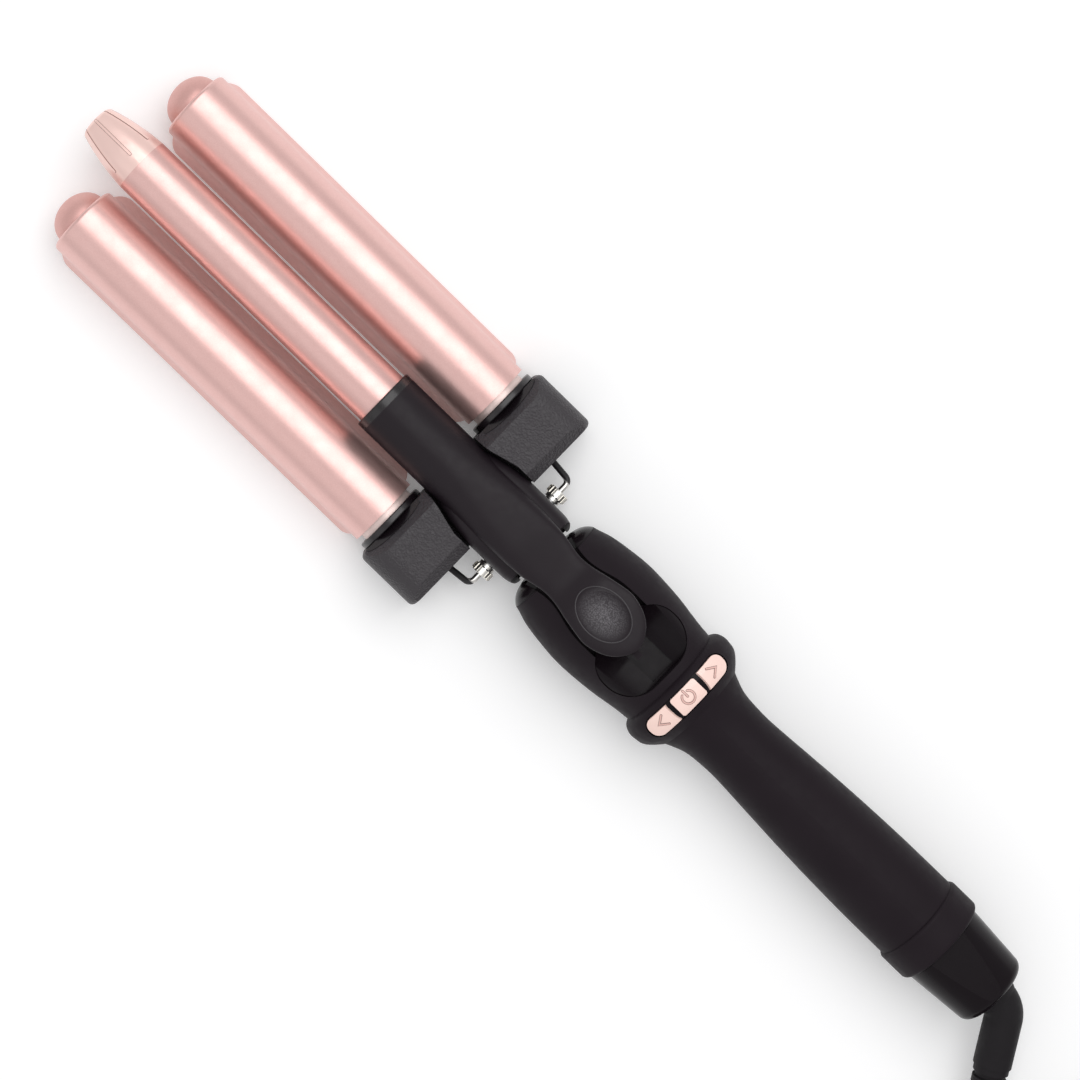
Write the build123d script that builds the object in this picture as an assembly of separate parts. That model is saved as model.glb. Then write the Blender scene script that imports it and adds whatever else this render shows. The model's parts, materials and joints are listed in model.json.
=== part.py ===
"""Three-barrel hair waver: two fixed outer barrels, a sprung lever with the middle barrel, swivel cord.

Millimetres. The long axis is X with the barrel tips towards +X, +Z is the lever side, and Z = 0 is the
surface that the tool lies on. Distances named "ahead" or "behind" are measured from the hinge pin.
"""
from build123d import *
from math import atan2, ceil, cos, degrees, pi, radians, sin, sqrt, tan
import os

# ---------------------------------------------------------------- driving dimensions
fit = 0.1                    # gap between pieces that are assembled into each other
running_fit = 0.05           # radial clearance of a turning or sliding fit
clearance = 0.6              # free air between pieces that move past each other

barrel_dia = 25.0            # outer barrels
barrel_wall = 2.0
barrel_length = 136.3
barrel_pitch = 26.2          # outer barrel axis from the centre plane
barrel_height = 13.2         # outer barrel axis above the table
foot_reach = 14.6            # outer lip of the flared foot, from the barrel's axis
foot_reach_inner = 15.6      # lip towards the middle barrel
foot_thickness = 1.6
foot_setback_front = 1.8     # the foot stops short of the barrel's ends
foot_setback_rear = 1.6
foot_corner = 4.5
dome_dia = 19.2
dome_height = 7.7
dome_plug_length = 8.0
barrel_rounding = 1.3

neck_dia = 20.8              # reduced collar behind each outer barrel
neck_length = 2.2
flange_dia = 25.8
flange_thickness = 2.3
flange_plug_dia = 16.0
flange_plug_length = 9.0

middle_dia = 19.6            # middle barrel, carried by the lever
middle_wall = 1.8
middle_height = 20.0         # its axis, and that of the handle, above the table
middle_front_ahead = 170.6
middle_rear_ahead = 38.0
tip_length = 20.5
tip_front_dia = 12.0
tip_slots = 7
tip_slot_width = 0.7
tip_slot_depth = 0.8
tip_slot_start = 7.6         # slots run from here behind the tip's widest end to its front

heater_width = 14.0
heater_thickness = 3.0
heater_length = 104.0
heater_inset = 16.0          # heater's front end behind the barrel's front end

pin_dia = 4.4
pin_height = 11.0
lug_radius = 6.0
lug_inner = 6.4              # half gap between the two hinge lugs
lug_outer = 10.4
yoke_rear_ahead = 8.7
yoke_depth = 23.7
yoke_half_width = 41.8
yoke_height = 27.7
yoke_inner = 14.95           # inner wall of each barrel housing from the centre plane
yoke_bridge_height = 7.6
yoke_shoulder = 9.0          # rounding of the outer top edge
yoke_front_slope = 4.8
yoke_rear_slope = 3.9
yoke_corner = 2.0
cover_thickness = 2.4
tang_half_width = 8.0
tang_bottom = 9.0
lug_base = 5.4              # top of the web under the hinge lugs
tang_top = 16.0
tang_behind = 28.0

sleeve_dia = 22.7
sleeve_front_ahead = 63.0
front_ring_length = 2.9
cheek_half_width = 14.3
cheek_inner = 10.9
cheek_rear_behind = 11.1
cheek_bottom = 5.4
cheek_roof = 25.6
lever_opening = 10.0         # degrees that the lever swings
spoon_half_width = 11.1
spoon_top = 44.6
spoon_tip_behind = 51.3
waist_half_width = 8.1
dish_length = 20.2
dish_width = 15.0
dish_depth = 1.5
dish_bowl = 5.0              # half height of the bowl's ellipsoid
dish_tilt = 4.0              # degrees that the spoon's top slopes at the dish
dish_fall = 0.55             # of the spoon's top there below its highest place
dish_behind = 35.6

screw_dia = 2.6
screw_head_dia = 5.0
screw_head_height = 1.4

bush_dia = 7.5
bush_neck_dia = 5.8
bush_neck_length = 1.2
bush_head_length = 2.9
bush_grooves = 16
wire_dia = 2.2
stand_corner_out = 23.5
stand_foot_ahead = 27.0
stand_foot_half = 26.4
stand_foot_height = 3.0

handle_wall = 2.4
nose_front_behind = 11.4
seam_behind = 15.5
handle_end_behind = 181.8
ring_front_behind = 67.3
ring_half_width = 22.2
ring_half_height = 20.0
ring_pitch = 2.0             # sections of the ring's skin
trough_floor = 28.0
trough_roof_wall = 2.2
well_behind = 53.3
well_half_length = 11.2
well_half_width = 16.1
well_corner = 10.6
well_thickness = 2.5
well_dish_radius = 26.0
channel_half_width = 4.5
channel_depth = 1.3
well_top_inset = 0.25

button_behind = 74.2
button_length = 7.2
button_width = 10.6
power_width = 10.8
power_corner = 0.9
button_travel = 0.8
button_proud = 0.55
button_thickness = 2.2
button_gap = 0.15
button_tilt_y = 12.1         # side button centre from the centre plane
slot_length = 8.0
slot_half_width = 17.1
slot_corner = 3.6
bezel_depth = 3.0
bezel_inset = 0.3
switch_size = 6.0
switch_height = 3.5
carrier_thickness = 1.6
stem_dia = 2.6

board_front_behind = 92.0
board_length = 62.0
board_half_width = 8.4
board_thickness = 1.6
board_top = 17.8

end_collar_dia = 33.9
end_collar_length = 11.5
cap_length = 25.0
cap_front_dia = 30.3
cap_rear_dia = 27.0
cap_gap = 0.3
cap_facet_height = 13.2      # flat on the cap's top above its axis
swivel_dia = 16.0
swivel_flange_dia = 22.0

elbow_corner_out = 6.0       # from the cap's end to the elbow's corner
elbow_leg = 21.0
elbow_turn = 57.0
elbow_drop = 12.0            # the swivel is turned this far below the horizontal
elbow_front_dia = 16.0
elbow_rear_dia = 13.0
relief_length = 26.0
relief_dia = 12.0
relief_end_dia = 8.4
relief_ribs = 6
cord_dia = 6.5
cord_bore = 8.0              # depth of the cord in the strain relief
coil_radius = 39.0           # at the middle of its turns
coil_columns = 4
coil_layers = 3
plug_length = 36.0
plug_width = 26.0
plug_thickness = 13.0
plug_pin_dia = 4.0
plug_pin_length = 19.0
plug_pin_pitch = 18.6

# ---------------------------------------------------------------- places worked out from them
barrel_r = barrel_dia / 2
middle_r = middle_dia / 2
axis_z = middle_height
yoke_front_ahead = yoke_rear_ahead + yoke_depth
neck_front_ahead = yoke_front_ahead + flange_thickness + neck_length
barrel_front_ahead = neck_front_ahead + barrel_length
tip_ahead = middle_front_ahead + tip_length
cap_rear_behind = handle_end_behind + end_collar_length + cap_length
pin_x = (cap_rear_behind - tip_ahead) / 2      # puts the origin midway between tip and cap


def ahead(distance):
    return pin_x + distance


def behind(distance):
    return pin_x - distance


# ---------------------------------------------------------------- small helpers
LOW = (Align.CENTER, Align.CENTER, Align.MIN)
section_points = 20          # on each soft outline
section_pitch = 5.0          # sections of a skin are at most this far apart


def block(x0, x1, y0, y1, z0, z1):
    return Pos((x0 + x1) / 2, (y0 + y1) / 2, (z0 + z1) / 2) * Box(x1 - x0, y1 - y0, z1 - z0)


def rod_x(radius, x0, x1, y=0.0, z=0.0):
    return Pos(x0, y, z) * Rot(0, 90, 0) * Cylinder(radius, x1 - x0, align=LOW)


def rod_y(radius, y0, y1, x, z):
    return Pos(x, y0, z) * Rot(-90, 0, 0) * Cylinder(radius, y1 - y0, align=LOW)


def rod_z(radius, z0, z1, x, y):
    return Pos(x, y, z0) * Cylinder(radius, z1 - z0, align=LOW)


def across(x, z=0.0):
    """Plane across the tool at x: its own X is +Y, its own Y is +Z."""
    return Plane(origin=(x, 0, z), x_dir=(0, 1, 0), z_dir=(1, 0, 0))


def eased(places, values):
    """Cubic curve through the values that is level at their peaks, so it never overshoots."""
    gaps = [b - a for a, b in zip(places, places[1:])]
    rates = [(b - a) / gap for a, b, gap in zip(values, values[1:], gaps)]
    inner = [2 * a * b / (a + b) if a * b > 0 else 0.0 for a, b in zip(rates, rates[1:])]
    slopes = [rates[0], *inner, rates[-1]]

    def value(i, t):
        rise = values[i + 1] - values[i]
        start, end = slopes[i] * gaps[i], slopes[i + 1] * gaps[i]
        return values[i] + start * t + (3 * rise - 2 * start - end) * t ** 2 + (start + end - 2 * rise) * t ** 3
    return value


def fine_stations(stations, pitch):
    """The same stations with more of them between, so that a skin over them doesn't wave."""
    places, *columns = zip(*sorted(stations))
    curves = [eased(places, column) for column in columns]
    rows = []
    for i, (a, b) in enumerate(zip(places, places[1:])):
        parts = ceil((b - a) / pitch)
        for step in range(parts):
            t = step / parts
            rows.append((a + (b - a) * t, *[curve(i, t) for curve in curves]))
    return rows + [(places[-1], *[column[-1] for column in columns])]


def oval_loft(stations, grow=0.0, pitch=section_pitch):
    """Skin over ellipses about the handle's axis; stations are (behind, half width, half height)."""
    sections = []
    for distance, half_width, half_height in fine_stations(stations, pitch):
        oval = Ellipse(half_width + grow, half_height + grow)
        sections.append(across(behind(distance), axis_z) * oval)
    return loft(sections)


def soft_section(half_width, bottom, top, squareness):
    """Closed smooth outline: 2 is an ellipse, larger values are nearer to a rectangle."""
    half_height, middle = (top - bottom) / 2, (top + bottom) / 2
    points = []
    for step in range(section_points):
        turn = 2 * pi * step / section_points
        y, z = cos(turn), sin(turn)
        points.append((half_width * abs(y) ** (2 / squareness) * (1 if y > 0 else -1),
                       middle + half_height * abs(z) ** (2 / squareness) * (1 if z > 0 else -1)))
    return make_face(Spline(*points, periodic=True))


def soft_loft(stations):
    """Skin over soft outlines; stations are (ahead, half width, bottom, top, squareness)."""
    fine = fine_stations(stations, section_pitch)
    return loft([across(ahead(distance)) * soft_section(*outline) for distance, *outline in fine])


def side_prism(points, y0, y1):
    """Prism between y0 and y1 over an outline of (x, z) points."""
    outline = make_face(Plane.XZ * Polyline(*points, close=True))
    return Pos(0, y0, 0) * extrude(outline, y1 - y0, dir=(0, 1, 0))


def mirrored(shape):
    return mirror(shape, about=Plane.XZ)


# ---------------------------------------------------------------- outer barrels
def barrel_foot(side, edge):
    """One flared lip of the foot out to its edge, as a face across the barrel about its axis."""
    low = -barrel_height
    top_y = barrel_r * cos(radians(10))
    top_z = -barrel_r * sin(radians(10))
    root_y = barrel_r * cos(radians(28))
    root_z = -barrel_r * sin(radians(28))
    points_out = [(top_y, top_z), (barrel_r + 0.35, -0.5 * barrel_r), (edge, low + foot_thickness)]
    points_in = [(edge - foot_thickness, low), (barrel_r - 0.9, low + 3.2), (root_y - 0.4, root_z)]
    outline = [
        Spline(*[(side * y, z) for y, z in points_out]),
        Line((side * edge, low + foot_thickness), (side * edge, low)),
        Line((side * edge, low), (side * points_in[0][0], low)),
        Spline(*[(side * y, z) for y, z in points_in]),
        Line((side * points_in[2][0], root_z), (side * top_y, top_z)),
    ]
    return make_face(outline)


def outer_barrel(side):
    """Aluminium extrusion: a tube with two flared lips that stand on the table."""
    x0, x1 = ahead(neck_front_ahead), ahead(barrel_front_ahead)
    y = side * barrel_pitch
    tube = rod_x(barrel_r, x0, x1, y, barrel_height)
    tube = fillet(tube.edges().filter_by(GeomType.CIRCLE).sort_by(Axis.X)[-1], barrel_rounding)
    foot_x0, foot_x1 = x0 + foot_setback_rear, x1 - foot_setback_front
    middle_y = y + side * (foot_reach - foot_reach_inner) / 2
    plan = RectangleRounded(foot_x1 - foot_x0, foot_reach + foot_reach_inner, foot_corner)
    mask = extrude(Pos((foot_x0 + foot_x1) / 2, middle_y) * plan, barrel_height)
    for lip in (-1, 1):
        edge = foot_reach if lip == side else foot_reach_inner
        face = across(foot_x0, barrel_height) * Pos(y, 0) * barrel_foot(lip, edge)
        tube += extrude(face, foot_x1 - foot_x0) & mask
    return tube - rod_x(barrel_r - barrel_wall, x0, x1, y, barrel_height)


def end_dome(side):
    """Pressed dome with a plug that fits the barrel's bore."""
    x1 = ahead(barrel_front_ahead)
    profile = Plane.XZ * make_face([
        Line((x1, 0), (x1 + dome_height, 0)),
        EllipticalCenterArc((x1, 0), dome_height, dome_dia / 2, start_angle=0, arc_size=90),
        Line((x1, dome_dia / 2), (x1, 0)),
    ])
    y = side * barrel_pitch
    dome = Pos(0, y, barrel_height) * revolve(profile, Axis.X)
    return dome + rod_x(barrel_r - barrel_wall - fit, x1 - dome_plug_length, x1, y, barrel_height)


def barrel_neck(side):
    x0 = ahead(yoke_front_ahead + flange_thickness)
    y = side * barrel_pitch
    ring = rod_x(neck_dia / 2, x0, x0 + neck_length, y, barrel_height)
    ring += rod_x(barrel_r - barrel_wall - fit, x0, x0 + neck_length + 6.0, y, barrel_height)
    return ring - rod_x(flange_plug_dia / 2 - 3.0, x0, x0 + neck_length + 6.0, y, barrel_height)


def heat_flange(side):
    """Glossy insulating disc, with a plug into the housing."""
    x0 = ahead(yoke_front_ahead)
    y = side * barrel_pitch
    disc = rod_x(flange_dia / 2, x0, x0 + flange_thickness, y, barrel_height)
    disc = fillet(disc.edges().filter_by(GeomType.CIRCLE), 0.5)
    disc += rod_x(flange_plug_dia / 2, x0 - flange_plug_length, x0 + 0.1, y, barrel_height)
    return disc - rod_x(flange_plug_dia / 2 - 3.0, x0 - flange_plug_length, x0 + flange_thickness, y, barrel_height)


def heater_plate(front_ahead, y, z):
    x1 = ahead(front_ahead - heater_inset)
    half = heater_width / 2
    return block(x1 - heater_length, x1, y - half, y + half, z - heater_thickness / 2, z + heater_thickness / 2)


def heat_spreader(front_ahead, radius, y, z):
    """Half-round aluminium carrier that presses the heater plate towards the barrel's top."""
    x1 = ahead(front_ahead - heater_inset)
    rod = rod_x(radius, x1 - heater_length, x1, y, z)
    return rod - block(x1 - heater_length, x1, y - radius, y + radius, z - radius, z + heater_thickness / 2)


# ---------------------------------------------------------------- middle barrel and its tip
def middle_barrel():
    x0, x1 = ahead(middle_rear_ahead), ahead(middle_front_ahead)
    return rod_x(middle_r, x0, x1, 0, axis_z) - rod_x(middle_r - middle_wall, x0, x1, 0, axis_z)


def tip_body(inset=0.0):
    """Turned form of the tip, or the same form inset all round."""
    x0, x1 = ahead(middle_front_ahead), ahead(tip_ahead)
    rear_r, front_r = middle_r - inset, tip_front_dia / 2 - inset
    shoulder, edge = 0.9, 2.4
    side_curve = Spline((x0, rear_r), (x0 + 0.55 * tip_length, rear_r - 1.5), (x1 - shoulder, front_r))
    profile = Plane.XZ * make_face([
        Line((x0, 0), (x0, rear_r)),
        side_curve,
        ThreePointArc((x1 - shoulder, front_r), (x1 - 0.2, front_r - 1.0), (x1, front_r - edge)),
        Line((x1, front_r - edge), (x1, 0)),
        Line((x1, 0), (x0, 0)),
    ])
    return Pos(0, 0, axis_z) * revolve(profile, Axis.X)


def cool_tip():
    """Heat-resistant tip with narrow lengthwise slots that follow its curve."""
    x0, x1 = ahead(middle_front_ahead), ahead(tip_ahead)
    half = tip_slot_width / 2
    tip = tip_body() + rod_x(middle_r - middle_wall - fit, x0 - 10.0, x0 + 1.0, 0, axis_z)
    bar = block(x0 + tip_slot_start, x1 - 1.6, -half, half, 0, middle_r)
    bar = fillet(bar.edges().filter_by(Axis.Z), 0.45 * tip_slot_width)
    bars = [Pos(0, 0, axis_z) * Rot(number * 360.0 / tip_slots, 0, 0) * bar for number in range(tip_slots)]
    core = tip_body(tip_slot_depth)
    for bar in bars:
        tip -= bar - core
    return tip


# ---------------------------------------------------------------- yoke, hinge and stand
def stand_points():
    x0, x1 = pin_x, ahead(stand_foot_ahead)
    inner = cheek_half_width + clearance + bush_neck_length + fit
    return [
        (x0, inner, pin_height), (x0, stand_corner_out, pin_height),
        (x1, stand_foot_half, stand_foot_height), (x1, -stand_foot_half, stand_foot_height),
        (x0, -stand_corner_out, pin_height), (x0, -inner, pin_height),
    ]


def stand_wire():
    """Bent steel wire: its ends turn in the bushes, its foot lifts the hot end off the table."""
    route = FilletPolyline(*stand_points(), radius=[2.4, 4.0, 4.0, 2.4])
    start = Plane(origin=route @ 0, z_dir=route % 0)
    return sweep(start * Circle(wire_dia / 2), path=route)


def stand_grooves():
    """Room for the folded stand in the underside of the yoke."""
    room = wire_dia / 2 + clearance
    x0, x1 = pin_x, ahead(stand_foot_ahead)
    rise = (pin_height - stand_foot_height) / (x1 - x0)
    xa, xb = ahead(yoke_rear_ahead) - 1.0, x1 + room
    y0 = stand_corner_out - room
    y1 = stand_foot_half + room
    leg = side_prism([
        (xa, -1.0), (xa, stand_foot_height + rise * (x1 - xa) + 1.3 * room),
        (xb, stand_foot_height + 1.3 * room), (xb, -1.0)], y0, y1)
    foot = block(x1 - room - 1.8, x1 + room, -y1, y1, -1.0, stand_foot_height + 1.3 * room)
    return [leg, mirrored(leg), foot]


def barrel_housing():
    """Right-hand housing of the yoke, with rounded shoulders and sloped front and rear edges."""
    x0, x1 = ahead(yoke_rear_ahead), ahead(yoke_front_ahead)
    body = block(x0, x1, yoke_inner, yoke_half_width, cover_thickness, yoke_height)
    top_out = body.edges().filter_by(Axis.X).sort_by(lambda e: e.center().Y + e.center().Z)[-1]
    body = fillet(top_out, yoke_shoulder)
    rear = [(x0 - 1, yoke_height - yoke_rear_slope - 1.2), (x0 + yoke_rear_slope + 1, yoke_height + 1.2),
            (x0 - 1, yoke_height + 1.2)]
    front = [(x1 + 1, yoke_height - yoke_front_slope - 1.0), (x1 - yoke_front_slope - 1, yoke_height + 1.0),
             (x1 + 1, yoke_height + 1.0)]
    for wedge in (rear, front):
        body -= side_prism(wedge, yoke_inner - 1, yoke_half_width + 1)
    upright = body.edges().filter_by(Axis.Z).sort_by(Axis.Y)[-2:]
    body = fillet(upright, yoke_corner)
    bore = rod_x(flange_plug_dia / 2 + fit, x1 - flange_plug_length - 1.0, x1 + 1, barrel_pitch, barrel_height)
    return body - bore


def yoke_frame():
    """Housing that carries both outer barrels and ties them to the handle."""
    x0, x1 = ahead(yoke_rear_ahead), ahead(yoke_front_ahead)
    right = barrel_housing()
    bridge = block(x0, x1, -yoke_inner - 1, yoke_inner + 1, cover_thickness, yoke_bridge_height)
    frame = bridge + right + mirrored(right)
    lug_x0 = pin_x - lug_radius
    for side in (-1, 1):
        y0, y1 = sorted((side * lug_inner, side * lug_outer))
        frame += rod_y(lug_radius, y0, y1, pin_x, pin_height)
        frame += block(pin_x, x0 + 1, y0, y1, cover_thickness, pin_height + 2)
    frame += block(lug_x0, x0 + 1, -lug_outer, lug_outer, cover_thickness, lug_base)
    frame += block(behind(tang_behind), lug_x0 + 1.5, -tang_half_width, tang_half_width, tang_bottom, tang_top)
    frame -= rod_y(pin_dia / 2, -lug_outer - 1, lug_outer + 1, pin_x, pin_height)
    for groove in stand_grooves():
        frame -= groove
    for x, y in cover_screw_places():
        frame -= rod_z(screw_dia / 2, 0, cover_thickness + 6.0, x, y)
    return frame


def cover_screw_places():
    x0, x1 = ahead(yoke_rear_ahead), ahead(yoke_front_ahead)
    edge = yoke_half_width - 7.0
    return [(x0 + 6.0, edge), (x0 + 6.0, -edge), (x1 - 12.0, 9.0), (x1 - 12.0, -9.0)]


def yoke_covers():
    """Bottom plates of the yoke, parted by the stand's groove; the hot end rests on them."""
    x0, x1 = ahead(yoke_rear_ahead), ahead(yoke_front_ahead)
    plate = block(x0, x1, -yoke_half_width, yoke_half_width, 0, cover_thickness)
    plate = fillet(plate.edges().filter_by(Axis.Z), yoke_corner)
    plate += block(pin_x - lug_radius, x0 + 1, -lug_outer, lug_outer, 0.6, cover_thickness)
    for groove in stand_grooves():
        plate -= groove
    for x, y in cover_screw_places():
        plate -= rod_z(screw_dia / 2 + fit, -1, cover_thickness + 1, x, y)
        plate -= rod_z(screw_head_dia / 2 + fit, -1, screw_head_height + 0.2, x, y)
    return plate.solids().sort_by(lambda solid: abs(solid.center().X))


def screw(x, y, head_z, length):
    """Pan-head screw driven upwards, with its head at head_z."""
    body = rod_z(screw_head_dia / 2, head_z, head_z + screw_head_height, x, y)
    body += rod_z(screw_dia / 2, head_z, head_z + length, x, y)
    cross = block(x - 1.6, x + 1.6, y - 0.3, y + 0.3, head_z - 1, head_z + 0.7)
    cross += block(x - 0.3, x + 0.3, y - 1.6, y + 1.6, head_z - 1, head_z + 0.7)
    return body - cross


def yoke_screws():
    return [screw(x, y, 0.2, cover_thickness + 4.5) for x, y in cover_screw_places()]


def hinge_pin():
    half = cheek_half_width + clearance + bush_neck_length - fit
    pin = rod_y(pin_dia / 2, -half, half, pin_x, pin_height)
    return chamfer(pin.edges().filter_by(GeomType.CIRCLE), 0.3)


def stand_bush(side):
    """Knurled bush pressed on the pin's end; the stand's wire turns in its bore."""
    y0 = cheek_half_width + clearance
    y1 = y0 + bush_neck_length
    y2 = y1 + bush_head_length
    bush = rod_y(bush_neck_dia / 2, y0, y1 + 0.1, pin_x, pin_height)
    head = rod_y(bush_dia / 2, y1, y2, pin_x, pin_height)
    head = chamfer(head.edges().filter_by(GeomType.CIRCLE), 0.4)
    for number in range(bush_grooves):
        groove = block(bush_dia / 2 - 0.35, bush_dia / 2 + 1, -bush_head_length, bush_head_length, -0.3, 0.3)
        groove = Pos(pin_x, (y1 + y2) / 2, pin_height) * Rot(0, number * 360.0 / bush_grooves, 0) * groove
        head -= groove
    bush += head
    bush -= rod_y(pin_dia / 2, y0 - 1, y1, pin_x, pin_height)
    bush -= rod_y(wire_dia / 2 + running_fit, y0, y2 + 1, pin_x, pin_height)
    return bush if side > 0 else mirrored(bush)


def lever_spring():
    """Torsion spring on the hinge pin, drawn as its outer sleeve with two legs."""
    half = lug_inner - 0.8
    inner, outer = pin_dia / 2 + 0.3, pin_dia / 2 + 1.7
    coil = rod_y(outer, -half, half, pin_x, pin_height) - rod_y(inner, -half - 1, half + 1, pin_x, pin_height)
    wire = 0.7
    leg_top = cheek_roof - 0.3
    coil += rod_z(wire, pin_height, leg_top, pin_x + inner + wire, half - wire)
    coil += rod_z(wire, lug_base + 0.1, pin_height, pin_x + inner + wire, -half + wire)
    return coil


# ---------------------------------------------------------------- lever
def lever_shell():
    """Clamp lever: sleeve for the middle barrel, arched arm, and a thumb spoon."""
    sleeve_r = sleeve_dia / 2
    low, high = axis_z - sleeve_r, axis_z + sleeve_r
    ring_x = sleeve_front_ahead - front_ring_length
    tip = -spoon_tip_behind
    arm = soft_loft([
        (ring_x, sleeve_r, low, high, 2.0),
        (51.0, sleeve_r, low, high, 2.0),
        (42.0, sleeve_r, low, high, 2.0),
        (34.0, sleeve_r, low, high, 2.0),
        (27.0, sleeve_r, low + 0.8, high + 0.1, 2.1),
        (19.0, sleeve_r - 0.3, low + 4.5, high + 0.6, 2.5),
        (10.0, 10.7, low + 10.0, high + 1.5, 3.0),
        (0.0, 10.3, low + 15.5, high + 2.9, 3.3),
        (-10.0, 9.5, 31.4, 36.8, 3.5),
        (-17.8, waist_half_width, 33.9, 38.9, 3.4),
        (-21.7, waist_half_width + 0.2, 35.8, 39.9, 3.3),
        (-27.0, spoon_half_width - 1.7, 38.3, spoon_top - 1.9, 3.1),
        (-31.0, spoon_half_width - 0.9, 39.6, spoon_top - 1.1, 3.0),
        (-37.5, spoon_half_width, 40.8, spoon_top - 0.4, 3.0),
        (tip + 8.2, spoon_half_width - 1.2, 41.3, spoon_top, 3.0),
        (tip + 3.8, spoon_half_width - 3.8, 41.8, spoon_top, 2.8),
        (tip + 1.2, spoon_half_width - 7.0, 42.3, spoon_top - 0.2, 2.4),
        (tip, spoon_half_width - 9.6, 42.8, spoon_top - 0.6, 2.0),
    ])
    skirt = soft_loft([
        (29.0, sleeve_r - 0.4, 12.0, 26.0, 3.0),
        (20.0, cheek_half_width - 1.1, 9.2, 28.0, 4.0),
        (10.0, cheek_half_width, 8.4, 29.4, 4.6),
        (2.0, cheek_half_width, 6.4, 29.8, 4.8),
        (-6.0, cheek_half_width - 0.1, cheek_bottom, 30.1, 4.8),
        (-9.2, cheek_half_width - 0.8, cheek_bottom, 30.1, 4.6),
        (-cheek_rear_behind, cheek_half_width - 2.2, cheek_bottom + 0.4, 30.2, 4.0),
    ])
    slope = tan(radians(lever_opening + 1.0))
    x_low = behind(cheek_rear_behind)
    skirt -= side_prism([(x_low - 3, pin_height), (x_low, pin_height), (x_low + slope * 24, pin_height + 24),
                         (x_low - 3, pin_height + 24)], -20, 20)
    skirt -= block(behind(cheek_rear_behind + 2), ahead(19.0), -cheek_inner, cheek_inner, 0, cheek_roof)
    heel = block(behind(cheek_rear_behind + 2), pin_x, -20, 20, 0, pin_height)
    skirt -= heel - rod_y(cheek_rear_behind, -20, 20, pin_x, pin_height)
    arm_hollow = block(behind(8.0), ahead(19.0), -cheek_inner, cheek_inner, 0, cheek_roof)
    lever = (arm - arm_hollow) + skirt
    x1 = ahead(ring_x)
    lever -= rod_x(middle_r + fit, ahead(middle_rear_ahead), x1 + 1, 0, axis_z)
    lever -= rod_x(4.0, ahead(18.0), ahead(middle_rear_ahead) + 1, 0, axis_z)
    lever -= rod_y(pin_dia / 2 + running_fit, -cheek_half_width - 1, cheek_half_width + 1, pin_x, pin_height)
    return lever - spoon_dish()


def spoon_dish():
    """Shallow oval bowl in the spoon, as a part of an ellipsoid that stands above it."""
    share = sqrt(1 - ((dish_bowl - dish_depth) / dish_bowl) ** 2)
    bowl = scale(Sphere(1.0), by=(dish_length / 2 / share, dish_width / 2 / share, dish_bowl))
    surface = spoon_top - dish_fall
    return Pos(behind(dish_behind), 0, surface + dish_bowl - dish_depth) * Rot(0, dish_tilt, 0) * bowl


def lever_front_ring():
    x1 = ahead(sleeve_front_ahead)
    ring = rod_x(sleeve_dia / 2, x1 - front_ring_length, x1, 0, axis_z)
    ring = fillet(ring.edges().filter_by(GeomType.CIRCLE).sort_by(Axis.X)[-1], 0.6)
    return ring - rod_x(middle_r + fit, x1 - front_ring_length - 1, x1 + 1, 0, axis_z)


def press_stop():
    """Small tab under the spoon's tip that runs in the thumb well's channel."""
    x0 = behind(spoon_tip_behind + 2.7)
    return block(x0, x0 + 9.0, 0.5, 2.8, 40.2, 41.15)


# ---------------------------------------------------------------- handle
handle_stations = [
    (seam_behind, 18.1, 16.4), (24.1, 20.4, 18.4), (38.8, 21.85, 19.5), (50.2, 21.2, 19.1), (63.3, 19.4, 17.8),
    (71.0, 18.7, 17.2), (78.0, 17.8, 16.5), (82.8, 16.0, 15.4), (89.3, 13.7, 13.9), (99.1, 12.95, 13.4),
    (115.4, 13.8, 14.2), (131.7, 14.8, 15.0), (148.0, 15.5, 15.6), (164.3, 15.9, 15.9),
    (handle_end_behind, 16.0, 16.0),
]


def button_ring(grow=0.0):
    """Raised ring round the handle that carries the buttons."""
    front = ring_front_behind
    wide, high = ring_half_width, ring_half_height
    return oval_loft([
        (front - 0.6, wide - 4.4, high - 3.6), (front + 0.8, wide - 2.0, high - 1.7),
        (front + 2.4, wide - 0.6, high - 0.5), (front + 4.7, wide, high),
        (front + 8.7, wide - 0.5, high - 0.4), (front + 11.7, wide - 2.6, high - 2.2),
        (front + 14.2, wide - 5.3, high - 4.2),
    ], grow, ring_pitch)


def handle_body():
    return oval_loft(handle_stations) + button_ring()


def handle_cavity():
    return oval_loft(handle_stations, -handle_wall)


def well_prism(grow=0.0):
    length, width = 2 * (well_half_length + grow), 2 * (well_half_width + grow)
    plan = RectangleRounded(length, width, well_corner + grow)
    return Pos(behind(well_behind), 0, trough_floor) * extrude(plan, 20)


def lever_trough():
    """Room in the top of the handle for the lever's arm and spoon."""
    edge = clearance + 0.2
    side = [
        (behind(nose_front_behind - 3), 11.2 + edge), (behind(12.0), 9.9 + edge),
        (behind(18.5), waist_half_width + 0.2 + edge), (behind(25.0), waist_half_width + 0.7 + edge),
        (behind(32.0), spoon_half_width - 0.5 + edge), (behind(39.0), spoon_half_width + edge),
        (behind(well_behind), spoon_half_width + edge),
    ]
    curve = Spline(*side)
    other = Spline(*[(x, -y) for x, y in side])
    ends = [Line(side[0], (side[0][0], -side[0][1])), Line(side[-1], (side[-1][0], -side[-1][1]))]
    return Pos(0, 0, trough_floor) * extrude(make_face([curve, ends[0], other, ends[1]]), 24)


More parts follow.
